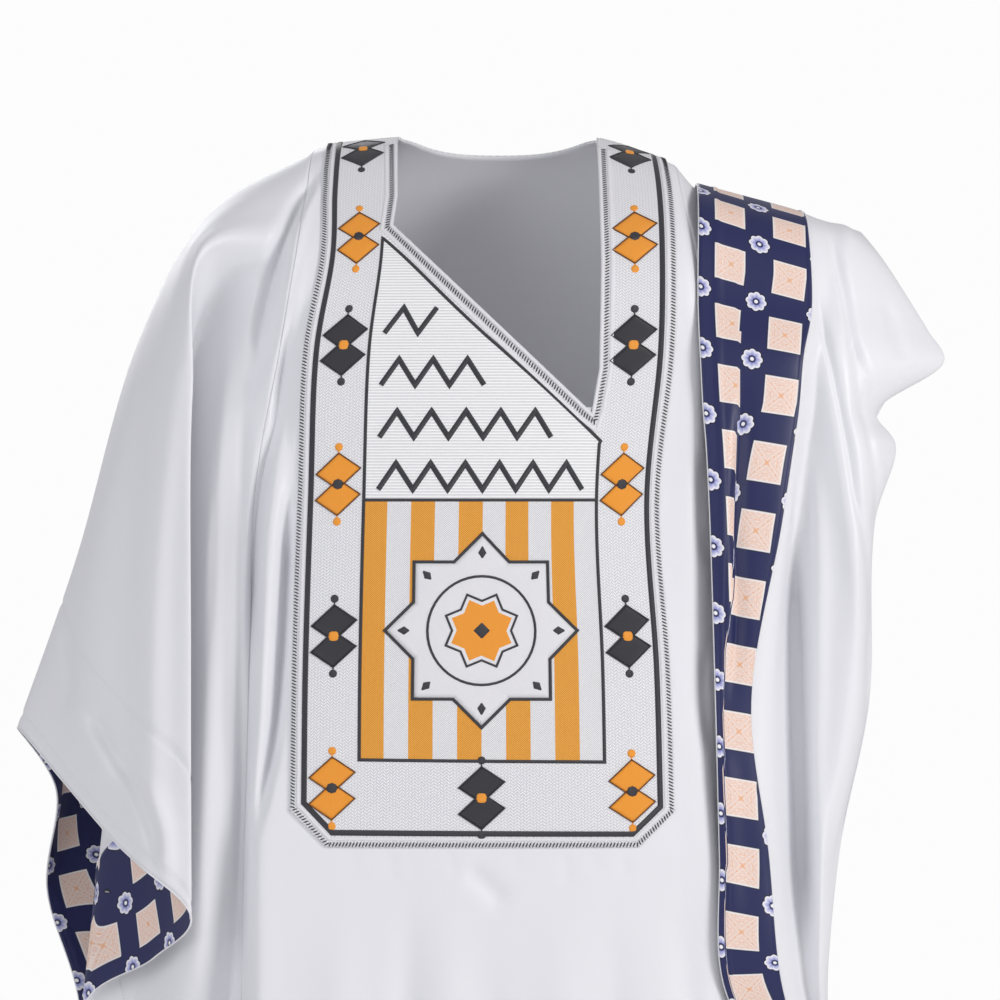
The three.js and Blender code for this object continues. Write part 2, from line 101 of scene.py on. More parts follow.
BACK = {
    "right seam": (0, [-40, -92, -165, -280, -410, -545, -760, -960, -1140],
                   [-147, -152, -158, -170, -184, -190, -194, -203, -222, -290],
                   [0, 58, 94, 110, 112, 110, 106, 98, 0, 0]),
    "band right": (2.5, [-37, -88, -165, -280, -410, -545, -735, -930, -1140],
                   [-137.5, -141, -144, -152, -160, -164, -168, -176, -194, -246],
                   [0, 62, 100, 120, 128, 121, 119, 120, 96, 104]),
    "right fold": (9, [-22, -80, -160, -280, -410, -545, -700, -880, -1140],
                   [-80, -84, -88, -92, -96, -98, -100, -104, -120, -150],
                   [0, 69, 106, 124, 130, 130, 130, 131, 140, 156]),
    "middle": (14, [-6, -72, -155, -280, -410, -545, -670, -850, -1138],
               [0, 0, 0, 0, 0, 0, 0, 0, 0, 0],
               [0, 74, 110, 130, 137, 131, 126, 127, 132, 136]),
    "left fold": (8, [-22, -80, -160, -280, -410, -545, -645, -815, -1130],
                  [80, 84, 88, 92, 94, 96, 98, 102, 118, 150],
                  [0, 69, 106, 124, 131, 130, 130, 131, 142, 160]),
    "band left": (-9, [-40, -90, -165, -280, -410, -545, -615, -750, -1105],
                  [129.5, 133, 138, 142, 146, 148, 150, 156, 186, 240],
                  [0, 60, 96, 116, 123, 118, 118, 119, 102, 106]),
    "left seam": (-13, [-44, -94, -165, -280, -410, -545, -600, -705, -1085],
                  [136, 142, 152, 160, 166, 170, 174, 182, 216, 285],
                  [0, 56, 88, 100, 103, 103, 103, 96, 0, 0]),
}

# The hanging sleeve's fold lines, round it from the line along the arm: its place on the seam, then
# points at the upper arm, middle, lower arm and mouth.
HANGING = {
    "arm": (0, (-232, 0, -52), (-287, 0, -150), (-339, 0, -328), (-386, 0, -462)),
    "arm front": (1.4, (-231, -48, -62), (-278, -58, -166), (-324, -62, -352), (-342, -60, -501)),
    "first ply": (2.2, (-230, -76, -72), (-260, -100, -182), (-284, -108, -374), (-296, -110, -544)),
    "first fold": (2.7, (-227, -96, -84), (-236, -128, -196), (-236, -142, -400), (-235, -150, -596)),
    "second ply": (2.9, (-222, -78, -104), (-250, -86, -226), (-270, -92, -430), (-268, -100, -634)),
    "valley": (3.1, (-222, -56, -126), (-262, -45, -258), (-303, -40, -458), (-326, -56, -676)),
    "third ply": (4.2, (-207, -98, -240), (-238, -84, -400), (-272, -66, -600), (-318, -44, -790)),
    "third ply low": (6.6, (-208, -106, -540), (-236, -98, -660), (-272, -76, -800), (-316, -34, -905)),
    "under seam": (9, (-238, 0, -982), (-258, 0, -1002), (-286, 0, -1022), (-318, 0, -1040)),
    "back low": (10.8, (-208, 104, -640), (-236, 100, -740), (-278, 88, -800), (-334, 58, -880)),
    "back fold": (13.4, (-212, 112, -300), (-250, 116, -420), (-300, 110, -570), (-347, 94, -694)),
    "back ply": (15, (-222, 88, -140), (-268, 96, -270), (-326, 90, -440), (-372, 82, -600)),
    "arm back": (16.5, (-230, 46, -68), (-282, 52, -180), (-338, 46, -372), (-360, 42, -514)),
}

# The folded sleeve's fold lines, round it from the shoulder: place on the seam, y, z and turn of the
# outer fold, then x and out at the outer fold, light ply, valley, white band, facing's edge and mouth.
FOLDED = {
    "shoulder": (0, 0, -66, 0, [288, 272, 262, 252, 240, 157], [0, 5, 7, 10, 15, 38]),
    "yoke": (1.3, -30, -100, 45, [309, 275, 262, 252, 241, 155], [0, 38, 40, 43, 46, 66]),
    "throat": (2.6, -40, -147, 75, [338, 268, 252, 246, 241, 153], [0, 48, 50, 53, 57, 72]),
    "corner": (3.6, -42, -170, 90, [350, 262, 246, 238, 233, 154], [0, 58, 56, 66, 72, 82]),
    "notch": (4.1, -60, -211, 90, [294, 267, 243, 233, 229, 156], [0, 46, 36, 52, 58, 67]),
    "knee": (4.5, -64, -237, 90, [309, 271, 239, 229, 225, 158], [0, 45, 30, 51, 57, 66]),
    "bust": (5.1, -70, -300, 90, [290, 276, 231, 221, 215, 161], [0, 42, 20, 50, 57, 62]),
    "belly": (6.2, -76, -435, 90, [287, 268, 226, 206, 192, 165], [0, 32, 12, 46, 52, 58]),
    "hip": (7.2, -80, -550, 90, [264, 250, 231, 212, 205, 168], [0, 26, 10, 40, 48, 54]),
    "low": (8, -84, -645, 95, [254, 247, 235, 224, 215, 171], [0, 20, 10, 32, 40, 48]),
    "front corner": (8.6, -55, -700, 130, [258, 254, 250, 244, 238, 214], [0, 10, 10, 20, 26, 40]),
    "under": (9, 0, -712, 180, [262, 261, 259, 256, 253, 246], [0, 8, 8, 15, 21, 30]),
    "back corner": (9.4, 55, -700, 230, [258, 254, 250, 244, 238, 214], [0, 10, 10, 20, 26, 40]),
    "back low": (10.1, 80, -635, 270, [256, 247, 237, 224, 215, 171], [0, 18, 10, 28, 36, 46]),
    "back belly": (11.9, 74, -420, 270, [284, 262, 235, 214, 206, 163], [0, 30, 16, 38, 46, 54]),
    "back blade": (13.6, 62, -235, 270, [298, 266, 244, 234, 228, 156], [0, 38, 30, 44, 50, 60]),
    "back throat": (15.4, 40, -147, 285, [336, 268, 252, 246, 241, 153], [0, 46, 48, 50, 54, 68]),
    "back yoke": (16.7, 28, -98, 315, [306, 275, 262, 252, 241, 155], [0, 36, 38, 41, 44, 62]),
}

# The facing's print.
PRINT_ACROSS, PRINT_ALONG = 49, 51  # from square to square
PRINT_WIDE, PRINT_HIGH = 26, 29  # of a square
PRINT_FLOWER = 7  # radius of a flower, inside its lobes
PRINT_SLOPE = 0.2  # of the rows, across the facing
PRINT_FIRST = 26  # from the mouth to the middle of the first squares
# The pleat along the turned-back facing: height, distance from the mouth, and cloth hidden in it.
PLEAT = [(-450, 5, 57), (-395, 9, 53), (-349, 16, 45), (-302, 19, 37), (-254, 23, 27), (-206, 28, 15),
         (-100, 32, 2)]
LEFT_PRINT_START, RIGHT_PRINT_START = 23, 0  # shift of the rows round each mouth

# The bib's stitching.
BIB_HALF = 145  # from the middle of the bib to its side
BASKET = 2.4  # pitch of the basket stitches
CORD_PITCH = 2.3  # of the upper field's cords
STRIPE = 18.5  # width of the lower field's bands
PANEL_SIDE = 92.5  # from the middle to the side of the central panel
LOZENGE_SIDE = 113  # from the middle to a column of lozenges
LOZENGE_WIDE, LOZENGE_HIGH, LOZENGE_SLANT, LOZENGE_APART = 17.5, 14, 2.5, 20
LOZENGES_DOWN = [None, -76, -161, -268, -384, -501]  # heights of the pairs. The first is on the shoulder
LOZENGE_TOP = 29
ZIGZAG_ROWS = [-262, -222, -182, -142]
ZIGZAG_HIGH, ZIGZAG_STEP, ZIGZAG_CLEAR = 10, 13.5, 14
ZIGZAG_START, ZIGZAG_END = 11, 10  # in from the central panel's sides
STAR = 74  # radius of the star
STAR_DISC, STAR_TIPS, STAR_HEART = STAR * 0.56, STAR * 0.8, STAR * 0.4
STAR_EYE = 8
STAR_NOTCH = 0.765  # how far out its notches lie, as a share of its points
TICK_PITCH, TICK_SLANT = 2.5, 0.45
TICK = (4.6, 1.15, 0.9)  # length, width and height of a whip stitch
TICK_IN, NECK_TICK_IN = 2.3, 5  # from the bib's edge and from the neck edge to its middle
TICK_LIFT = 0.25
# Lines along the bib's edge and its neck edge: how far in, how wide and how high.
BLACK_BORDER, WHITE_BORDER = (10.8, 4.3, 0.7), (6.3, 2.6, 0.6)
NECK_CORD, NECK_LINE = (1.5, 3, 1.3), (9.2, 3.4, 0.6)
# Other lines: how wide and how high.
PANEL_LINE, DIVIDER_LINE, ZIGZAG_LINE = (2.6, 0.6), (2.4, 0.6), (4.2, 0.75)
STAR_LINE, RING_LINE, HEART_LINE = (2.4, 0.85), (2.2, 0.95), (2, 1.2)
LOZENGE_LINE, TAIL_LINE = (0.9, 0.95), (1.1, 0.6)
# Dots: radius, height and points each way.
END_DOT, MIDDLE_DOT = (3.1, 0.8, 7), (4.4, 1.3, 9)
END_DOT_OUT, TAIL = 4.6, 5  # from a lozenge's point to its end dot, and the line between them
END_DOT_LEAST = 4  # below the shoulder line, for an end dot to be there
BORDER_STARTS, LOZENGES_START = 0.6, 0.8  # below the shoulder line
# The middle of the bib as seen from the front, with the heights of its fields and lowest lozenges.
BIB_MIDDLE, DIVIDER, FOOT, LOWEST_LOZENGES = -13, -280, -479, -507
SLANT_ENDS = [(-86, -77), (77, -235)]  # of the central panel's upper edge

# The neck opening as seen from the front: two upright sides and a slanting lower edge.
NECK_EDGE = [(-81.8, 20), (-80, -42), (-83, -67), (70, -213), (76, -179), (78, -95), (76.9, 20)]

PIPING = 0.8  # radius of the piping along the mouths and the facings
PIPING_SIDES = 8
STITCH_PITCH = 3.2  # from one machine stitch to the next
STITCH = (2.4, 0.7, 0.5)  # length, width and height of a machine stitch
STITCH_SUNK = 0.9  # how far a row of them draws the cloth in
THREAD_PITCH = 0.0009  # of the satin's weave and of the thread in the stitching, in metres
WEAVE_SLANT, THREAD_SLANT = 0.55, 0.4

# Steps of the cloth between one fold line, level or station and the next.
FRONT_DOWN = [5, 8, 14, 17, 25, 28, 29, 26, 34, 42]
FRONT_ACROSS = [8, 12, 14, 19, 26, 26, 19, 12, 10]
BIB_DOWN = [8, 12, 24, 30, 44, 50, 52]
BIB_ACROSS = [24, 36, 36, 24]
BAND_ROWS = 16
BACK_ROWS = 165
BACK_CLOSER = 1.2  # makes the back's upper rows closer than its lower ones
BACK_ACROSS = [6, 18, 26, 26, 18, 6]
HANGING_ROUND = 20
HANGING_ALONG, HANGING_FACING = 100, 28  # down to the facing, and over it
FOLDED_ROUND = 14
FOLDED_ALONG = [8, 12, 18, 32, 34, 20, 10, 32]
LINE_POINTS = 801  # along a fold line, to find where the facing starts on it
RIM_REACH = 4  # points each way that a mouth's direction is taken over
PATH_STEPS = 8  # between the points of a fold's path
FOLD_MARGIN = 3  # how far a fold is felt, in its own widths
SOFT_DOWN, SOFT_ACROSS = 0.15, 0.3  # how softly it ends at its limits
CORNER_NEAR = 4  # a point this near the corner of a cut goes to it
CUT_PAST, CUT_FAR = 9, 20  # how far the cut of a corner reaches past the bib's edges
# The rows of the hanging sleeve, the folded sleeve and the hems that are machine stitched.
HANGING_STITCHED = (-HANGING_FACING, -4)
FOLDED_STITCHED = (-FOLDED_ALONG[-1], -6)
HEM_STITCHED = (-5,)


# ---------------------------------------------------------------------------------------------
# Sheets of cloth
def spline(p0, p1, p2, p3, part):
    """A point on the centripetal curve from p1 to p2."""
    def spacing(a, b):
        return np.sum((b - a) ** 2, axis=-1, keepdims=True) ** 0.25

    d1 = spacing(p1, p2)
    d1 = np.where(d1 < 1e-4, 1, d1)
    d0 = spacing(p0, p1)
    d0 = np.where(d0 < 1e-4, d1, d0)
    d2 = spacing(p2, p3)
    d2 = np.where(d2 < 1e-4, d1, d2)
    t1 = ((p1 - p0) / d0 - (p2 - p0) / (d0 + d1) + (p2 - p1) / d1) * d1
    t2 = ((p2 - p1) / d1 - (p3 - p1) / (d1 + d2) + (p3 - p2) / d2) * d1
    t = part[..., None]
    return p1 + t1 * t + (3 * (p2 - p1) - 2 * t1 - t2) * t**2 + (2 * (p1 - p2) + t1 + t2) * t**3


class Sheet:
    """A sheet of cloth through its fold lines. down counts the points along a line, and across
    counts the lines. hold moves points to where the sheet is held."""

    def __init__(self, lines, closed=False, hold=None):
        lines = np.array(lines, float)
        before = 2 * lines[:, :1] - lines[:, 1:2]
        after = 2 * lines[:, -1:] - lines[:, -2:-1]
        self.lines = np.concatenate([before, lines, after], axis=1)
        self.points_down = lines.shape[1]
        self.count = len(lines)
        self.closed = closed
        self.spans = self.count if closed else self.count - 1
        self.hold = hold

    def on_line(self, line, down):
        span = np.clip(np.floor(down).astype(int), 0, self.points_down - 2)
        around = [self.lines[line, span + k] for k in range(4)]
        return spline(*around, down - span)

    def free(self, down, across):
        """down has one value for each line on its last axis, or one for all of them."""
        across = np.asarray(across, float)
        down = np.broadcast_to(down, across.shape + (self.count,))
        whole = np.floor(across).astype(int)
        span = whole if self.closed else np.clip(whole, 0, self.spans - 1)

        def point(k):
            line = span + k
            line = line % self.count if self.closed else np.clip(line, 0, self.count - 1)
            return self.on_line(line, np.take_along_axis(down, line[..., None], -1)[..., 0])

        around = [point(k) for k in (-1, 0, 1, 2)]
        if not self.closed:
            first, last = (span == 0)[..., None], (span == self.spans - 1)[..., None]
            around[0] = np.where(first, 2 * around[1] - around[2], around[0])
            around[3] = np.where(last, 2 * around[2] - around[1], around[3])
        return spline(*around, across - span)

    def at(self, down, across):
        points = self.free(down, across)
        return self.hold(self, points, down, across) if self.hold else points


def places(steps, first=0):
    """The places between the points of a line, with the given number of steps in each span."""
    found = [first]
    for span, count in enumerate(steps):
        found += [first + span + (i + 1) / count for i in range(count)]
    return np.array(found, float)


def body_line(row, facing):
    top, low, xs, ys = row
    heights = [top, *(low if len(low) > 3 else [*FRONT_Z, *low])]
    points = [[x, y or facing * SHOULDER_GAP, z] for x, y, z in zip(xs, ys, heights)]
    yoke = [a + (b - a) * YOKE_SHARE for a, b in zip(points[0], points[1])]
    yoke[2] += YOKE_RISE
    return [points[0], yoke, *points[1:]]


def body_sheet(table, facing):
    def hold(sheet, points, down, across):
        points = points.copy()
        points[..., 1] = facing * np.maximum(facing * points[..., 1], SHOULDER_GAP)
        return points

    return Sheet([body_line(row, facing) for row in table.values()], hold=hold)


front_sheet = body_sheet(FRONT, -1)
back_sheet = body_sheet(BACK, 1)


def seam_along(front_line, back_line, away):
    """The edge that a sleeve keeps to. Its places are levels, down the front and up the back."""
    def seam(place):
        level = np.where(place <= FORK, place, 2 * FORK - place)
        on_front = front_sheet.at(level[..., None], np.full(level.shape, front_line))
        on_back = back_sheet.at(level[..., None], np.full(level.shape, back_line))
        points = np.where((place <= FORK)[..., None], on_front, on_back)
        shut = np.minimum(np.minimum(level, FORK - level), 1)
        points[..., 0] += away * SEAM
        points[..., 1] *= np.clip(shut * SEAM_OPENS, 0, 1)
        return points

    return seam


right_seam = seam_along(0, 0, -1)
left_seam = seam_along(front_sheet.spans, back_sheet.spans, 1)


def sleeve_sheet(table, line_of, seam):
    """A sleeve's first ring is held to the seam, and lets go of it by the second."""
    seam_places = [row[0] for row in table.values()] + [2 * FORK]

    def hold(sheet, points, down, across):
        line = np.floor(across).astype(int) % sheet.count
        downs = np.broadcast_to(down, across.shape + (sheet.count,))
        down_here = np.take_along_axis(downs, line[..., None], -1)
        place = np.interp(across, np.arange(sheet.count + 1), seam_places)
        held = seam(place) - sheet.free(np.zeros(1), across)
        return points + held * np.where(down_here < 1, (1 - down_here) ** 2, 0)

    return Sheet([line_of(row) for row in table.values()], closed=True, hold=hold)


def hanging_line(row):
    return [right_seam(np.array(float(row[0]))), *np.array(row[1:], float)]


def folded_line(row):
    place, y, z, turn, xs, outs = row
    start = left_seam(np.array(float(place)))
    turn = math.radians(turn)
    outward = np.array([0, -math.sin(turn), math.cos(turn)])
    returning = [np.array([x, y, z]) + outward * out for x, out in zip(xs, outs)]
    tuck = start + (returning[0] - start) * TUCK_SHARE - outward * TUCK_IN
    under = start + (returning[0] - start) * UNDER_SHARE - outward * UNDER_IN
    return [start, tuck, under, *returning]


hanging_sheet = sleeve_sheet(HANGING, hanging_line, right_seam)
folded_sheet = sleeve_sheet(FOLDED, folded_line, left_seam)


# ---------------------------------------------------------------------------------------------
# Layers: a grid of points of a cloth's middle surface
def lengths(points, axis):
    """Distance run along one axis of a grid, from its first point."""
    steps = np.linalg.norm(np.diff(points, axis=axis), axis=-1)
    start = np.zeros_like(np.take(steps, [0], axis=axis))
    return np.concatenate([start, np.cumsum(steps, axis=axis)], axis=axis)


class Layer:
    def __init__(self, points, down, across, closed=False):
        self.points = points
        self.down = np.broadcast_to(down, points.shape[:2])
        self.across = np.broadcast_to(across, points.shape[:2])
        self.closed = closed
        self.measure()
        self.face_out()

    def measure(self):
        """The cloth's own coordinates: run across and run down, in millimetres."""
        around = np.concatenate([self.points, self.points[:, :1]], axis=1) if self.closed else self.points
        self.run_across = lengths(around, 1)
        self.run_down = lengths(around, 0)

    def face_out(self):
        if self.closed:
            across = np.roll(self.points, -1, axis=1) - np.roll(self.points, 1, axis=1)
        else:
            across = np.gradient(self.points, axis=1)
        down = np.gradient(self.points, axis=0)
        normals = np.cross(down, across)
        length = np.linalg.norm(normals, axis=-1, keepdims=True)
        self.normals = normals / np.maximum(length, 1e-9)

    def crop(self, rows, columns=slice(None)):
        part = object.__new__(Layer)
        part.closed = self.closed
        for name in ("points", "normals", "down", "across"):
            setattr(part, name, getattr(self, name)[rows, columns])
        part.measure()
        return part


def between(value, low, high, soft):
    """1 inside a range, and falling to 0 over soft at its ends."""
    rise = np.clip((value - low) / soft + 0.5, 0, 1)
    fall = np.clip((high - value) / soft + 0.5, 0, 1)
    share = np.minimum(rise, fall)
    return share * share * (3 - 2 * share)


def smooth_path(path):
    """A finely stepped curve through the points of a path."""
    points = np.array(path, float)
    padded = np.concatenate([[2 * points[0] - points[1]], points, [2 * points[-1] - points[-2]]])
    found = []
    part = np.arange(PATH_STEPS) / PATH_STEPS
    for i in range(len(points) - 1):
        around = [np.broadcast_to(padded[i + k], (PATH_STEPS, points.shape[1])) for k in range(4)]
        found.append(spline(*around, part))
    return np.concatenate([*found, points[-1:]])


def press(layer, folds):
    """Presses soft folds into a layer. Each fold runs along a path seen from the front, wide to its
    left and right, and only in a part of the layer. It goes in from the front, or from behind."""
    seen = layer.points[..., [0, 2]]
    pushed = np.zeros(seen.shape[:2])
    for fold in folds:
        path = smooth_path(fold["path"])
        margin = FOLD_MARGIN * max(fold["wide"])
        near = np.all((seen > path.min(0) - margin) & (seen < path.max(0) + margin), axis=-1)
        spots = seen[near]
        best = np.full(len(spots), 1e9)
        side, share = np.zeros_like(best), np.zeros_like(best)
        steps = np.linalg.norm(np.diff(path, axis=0), axis=1)
        ran = np.concatenate([[0], np.cumsum(steps)])
        for i, step in enumerate(steps):
            line = (path[i + 1] - path[i]) / max(step, 1e-9)
            to = spots - path[i]
            along = np.clip(to @ line, 0, step)
            distance = np.linalg.norm(to - along[:, None] * line, axis=-1)
            nearer = distance < best
            best = np.where(nearer, distance, best)
            side = np.where(nearer, line[0] * to[:, 1] - line[1] * to[:, 0], side)
            share = np.where(nearer, (ran[i] + along) / ran[-1], share)
        left, right = fold["wide"]
        fade = fold["fade"]
        ends = np.clip(share / fade, 0, 1)
        if not fold["to_edge"]:
            ends = np.minimum(ends, np.clip((1 - share) / fade, 0, 1))
        here = np.exp(-((best / np.where(side > 0, right, left)) ** 2)) * ends * ends * (3 - 2 * ends)
        for value, limits, soft in ((layer.down, fold["down"], SOFT_DOWN),
                                    (layer.across, fold["across"], SOFT_ACROSS)):
            if limits:
                here = here * between(value[near], *limits, soft)
        pushed[near] += here * (-fold["deep"] if fold["behind"] else fold["deep"])
    layer.points = layer.points + np.array([0, 1, 0]) * pushed[..., None]
    layer.face_out()
    return layer


def trough(path, wide, deep, down=None, across=None, behind=False, fade=0.25, to_edge=False):
    """A fold for press. wide is its half width, or that to its left and to its right."""
    wide = wide if isinstance(wide, tuple) else (wide, wide)
    return {"path": path, "wide": wide, "deep": deep, "down": down, "across": across, "behind": behind,
            "fade": fade, "to_edge": to_edge}


def ridge(path, wide, high, **where):
    return trough(path, wide, -high, **where)


def kept_to(folds, **where):
    return [{**fold, **where} for fold in folds]


# Puckers where the bib is sewn on at its lower edge: x, how long and how deep.
PUCKERS = [(-112, 15, 0.6), (-84, 22, 0.9), (-69, 13, 0.5), (-37, 19, 0.8), (12, 16, 0.6), (49, 23, 0.9),
           (71, 13, 0.5), (94, 18, 0.8)]

# Folds of the cloth, as (x, z) seen from the front. These cross the seam of the right sleeve.
RIGHT_SIDE_FOLDS = [
    trough([(-134, -10), (-146, -30), (-158, -52), (-171, -86), (-179, -117), (-186, -148),
            (-191, -184)], (6, 4.5), 15, fade=0.3),
    ridge([(-138, -16), (-149, -46), (-158, -84), (-166, -124), (-170, -150)], 5, 4),
    trough([(-152, -112), (-162, -150), (-169, -190), (-173, -220), (-180, -250), (-186, -285), (-190, -330),
            (-192, -420)], (4, 7), 15),
    ridge([(-158, -215), (-165, -250), (-171, -300), (-175, -360), (-179, -430), (-184, -500)], 6, 6),
]
FRONT_FOLDS = RIGHT_SIDE_FOLDS + [
    # beside the bib, and the wedge below
    trough([(-160, -262), (-163, -300), (-165, -345), (-168, -400), (-173, -455), (-181, -505), (-188, -545)],
           (5, 4.5), 14),
    trough([(-197, -560), (-196, -640), (-202, -760), (-214, -900)], (6, 9), 4),
    # under the bib
    trough([(-66, -552), (-70, -620), (-74, -700), (-80, -800), (-88, -920), (-94, -1136)], 12, 6,
           to_edge=True),
    ridge([(-40, -556), (-40, -650), (-42, -780), (-46, -1136)], 15, 5, to_edge=True),
    trough([(-28, -560), (-12, -572), (6, -592)], 8, 3.5),
    trough([(-10, -600), (-6, -690), (-4, -820), (0, -1136)], (14, 10), 5, to_edge=True),
    trough([(84, -552), (86, -620), (90, -760), (98, -1132)], 13, 3.5, to_edge=True),
    ridge([(46, -570), (48, -700), (52, -1134)], 18, 4, to_edge=True),
    ridge([(-118, -556), (-124, -680), (-138, -880), (-150, -1138)], 16, 5, to_edge=True),
    trough([(136, -552), (146, -680), (166, -900), (180, -1120)], 12, 5, to_edge=True),
    # the side under the turned-back sleeve
    trough([(156, -234), (155, -295), (161, -341)], 5, 3),
    trough([(158, -387), (156, -433), (163, -479)], 5, 4),
    trough([(176, -640), (190, -800), (212, -1110)], 11, 6, to_edge=True),
] + [trough([(x, -549), (x + 2, -552 - long)], 4.5, deep) for x, long, deep in PUCKERS]

BACK_FOLDS = kept_to([
    trough([(-130, -70), (-146, -160), (-160, -290), (-170, -430)], (8, 6), 6),
    ridge([(-116, -130), (-128, -260), (-136, -420), (-146, -620), (-160, -860)], 13, 5),
    trough([(-66, -240), (-68, -420), (-60, -640), (-70, -860), (-78, -1136)], 14, 6, to_edge=True),
    ridge([(-34, -330), (-30, -560), (-38, -820), (-40, -1136)], 16, 5, to_edge=True),
    trough([(12, -420), (8, -640), (16, -860), (14, -1136)], 13, 6, to_edge=True),
    ridge([(54, -300), (52, -540), (60, -820), (66, -1134)], 17, 5, to_edge=True),
    trough([(98, -200), (96, -380), (104, -620), (118, -880), (126, -1130)], 13, 6, to_edge=True),
    ridge([(126, -110), (132, -260), (136, -420), (148, -640), (166, -900)], 12, 5),
    trough([(-190, -620), (-196, -760), (-216, -940), (-240, -1136)], 12, 6, to_edge=True),
    trough([(176, -560), (186, -700), (208, -900), (226, -1110)], 12, 6, to_edge=True),
], behind=True)

HANGING_FOLDS = kept_to(RIGHT_SIDE_FOLDS, across=(0.2, 8.4)) + kept_to([
    # on the first ply
    ridge([(-205, -50), (-222, -76), (-236, -105), (-246, -150), (-254, -200), (-261, -270), (-266, -340),
           (-268, -450), (-263, -560), (-257, -640)], (24, 13), 7, fade=0.15),
    trough([(-262, -165), (-280, -240), (-286, -330), (-285, -430), (-280, -520)], 12, 4),
    ridge([(-300, -220), (-312, -300), (-318, -380), (-318, -470)], 14, 3.5),
    trough([(-290, -470), (-284, -493), (-266, -530), (-262, -558)], 5, 7),
    ridge([(-272, -490), (-256, -530), (-252, -580)], 7, 5),
    trough([(-318, -440), (-309, -459), (-281, -502)], 7, 6),
    ridge([(-348, -420), (-324, -459), (-293, -500)], 9, 5),
    trough([(-350, -380), (-340, -410), (-338, -450)], 7, 5),
    trough([(-262, -572), (-250, -606), (-244, -650)], 5, 4),
    ridge([(-276, -548), (-266, -588), (-258, -632)], 6, 4),
], across=(0.5, 3.3)) + kept_to([
    # between the first ply and the body
    trough([(-204, -140), (-214, -170), (-219, -200), (-221, -255), (-222, -330), (-226, -420)], 4, 1.5),
    ridge([(-200, -110), (-214, -165), (-222, -230), (-226, -300), (-228, -400), (-230, -500), (-231, -600),
           (-233, -720)], (18, 13), 16),
    trough([(-192, -165), (-197, -215), (-198, -260), (-200, -330), (-200, -420), (-200, -520), (-202, -640),
            (-208, -740)], 5, 5),
    trough([(-176, -140), (-188, -175), (-202, -206)], 9, 3.5),
], across=(3.9, 8.4)) + kept_to([
    # on the plies behind
    trough([(-238, -150), (-252, -300), (-260, -480), (-262, -640), (-252, -780)], 14, 7),
    ridge([(-214, -200), (-222, -400), (-224, -600), (-220, -760)], 12, 5),
    ridge([(-284, -200), (-300, -360), (-306, -540), (-300, -680)], 15, 5),
    trough([(-318, -250), (-336, -380), (-344, -500), (-338, -600)], 10, 4),
], across=(9.4, 12.6), behind=True)

FOLDED_FOLDS = kept_to([
    # the light ply's creases
    trough([(241, -104), (251, -150), (260, -195), (268, -240), (274, -280), (281, -311), (287, -357),
            (285, -400), (285, -445), (278, -486), (270, -517), (261, -551), (252, -587)], (2.4, 4.5), 5,
           fade=0.12),
    ridge([(238, -110), (252, -195), (265, -280), (276, -357), (276, -440), (268, -490), (255, -550)],
          6, 2.5),
    trough([(257, -71), (268, -123), (278, -200), (288, -247), (291, -290), (281, -313)], (2.4, 4), 4,
           fade=0.15),
    trough([(272, -154), (282, -180), (290, -205)], 3, 3),
    trough([(300, -120), (310, -150), (318, -176)], 6, 2),
    ridge([(262, -560), (258, -600), (256, -640)], 5, 2),
    # the valley beside the facing, and the edge of the light ply over it
    trough([(229, -290), (233, -380), (235, -440), (237, -500), (238, -570), (240, -650)], (13, 4.5), 17),
    ridge([(244, -230), (246, -330), (245, -430), (243, -486), (245, -560), (247, -640)], (4, 8), 7),
], down=(3.2, 6.1), across=(0.4, 10.4)) + kept_to([
    trough([(186, -180), (184, -206), (181, -254), (179, -302), (181, -349), (180, -395), (175, -440)],
           (3, 7), 5),
    ridge([(172, -460), (176, -540), (178, -620)], 8, 2),
], down=(7, 9), across=(0.4, 10.4)) + kept_to([
    trough([(244, -110), (262, -200), (274, -300), (280, -400), (266, -520), (256, -600)], (3, 5), 3),
    trough([(262, -90), (278, -180), (286, -250), (280, -320)], (3, 5), 2.5),
    trough([(226, -320), (230, -440), (234, -560), (238, -640)], 9, 9),
    ridge([(250, -240), (252, -340), (250, -440), (248, -560)], 7, 5),
], down=(3.2, 6.1), across=(11.6, 17.6), behind=True)


def front_layer(down_steps, across_steps, first_line=0):
    down = places(down_steps)[:, None]
    across = places(across_steps, first_line)[None, :]
    across = np.broadcast_to(across, (len(down), across.shape[1]))
    points = front_sheet.at(np.broadcast_to(down, across.shape)[..., None], across)
    return press(Layer(points, down, across), FRONT_FOLDS)


def back_layer():
    across = places(BACK_ACROSS)[::-1]
    x = back_sheet.at(np.zeros(1), across)[:, 0]
    dip = NECK_DIP * np.sqrt(1 - np.minimum(np.abs(x) / NECK_HALF, 1) ** 2)
    edges = [list(BACK.values())[line][2][0] for line in BAND_LINES]
    inside = np.maximum(1 - (x / np.where(x < 0, edges[1], edges[0])) ** 2, 0)
    band_end = np.maximum((NECK_DIP + BAND_DEPTH) * np.sqrt(inside), BAND_LEAST)
    hem = back_sheet.points_down - 1
    band = np.linspace(0, 1, BAND_ROWS + 1)[:, None]
    rest = np.linspace(0, 1, BACK_ROWS + 1)[1:, None] ** BACK_CLOSER
    down = np.concatenate([dip + (band_end - dip) * band, band_end + (hem - band_end) * rest])
    across = np.broadcast_to(across, down.shape)
    return press(Layer(back_sheet.at(down[..., None], across), down, across), BACK_FOLDS)


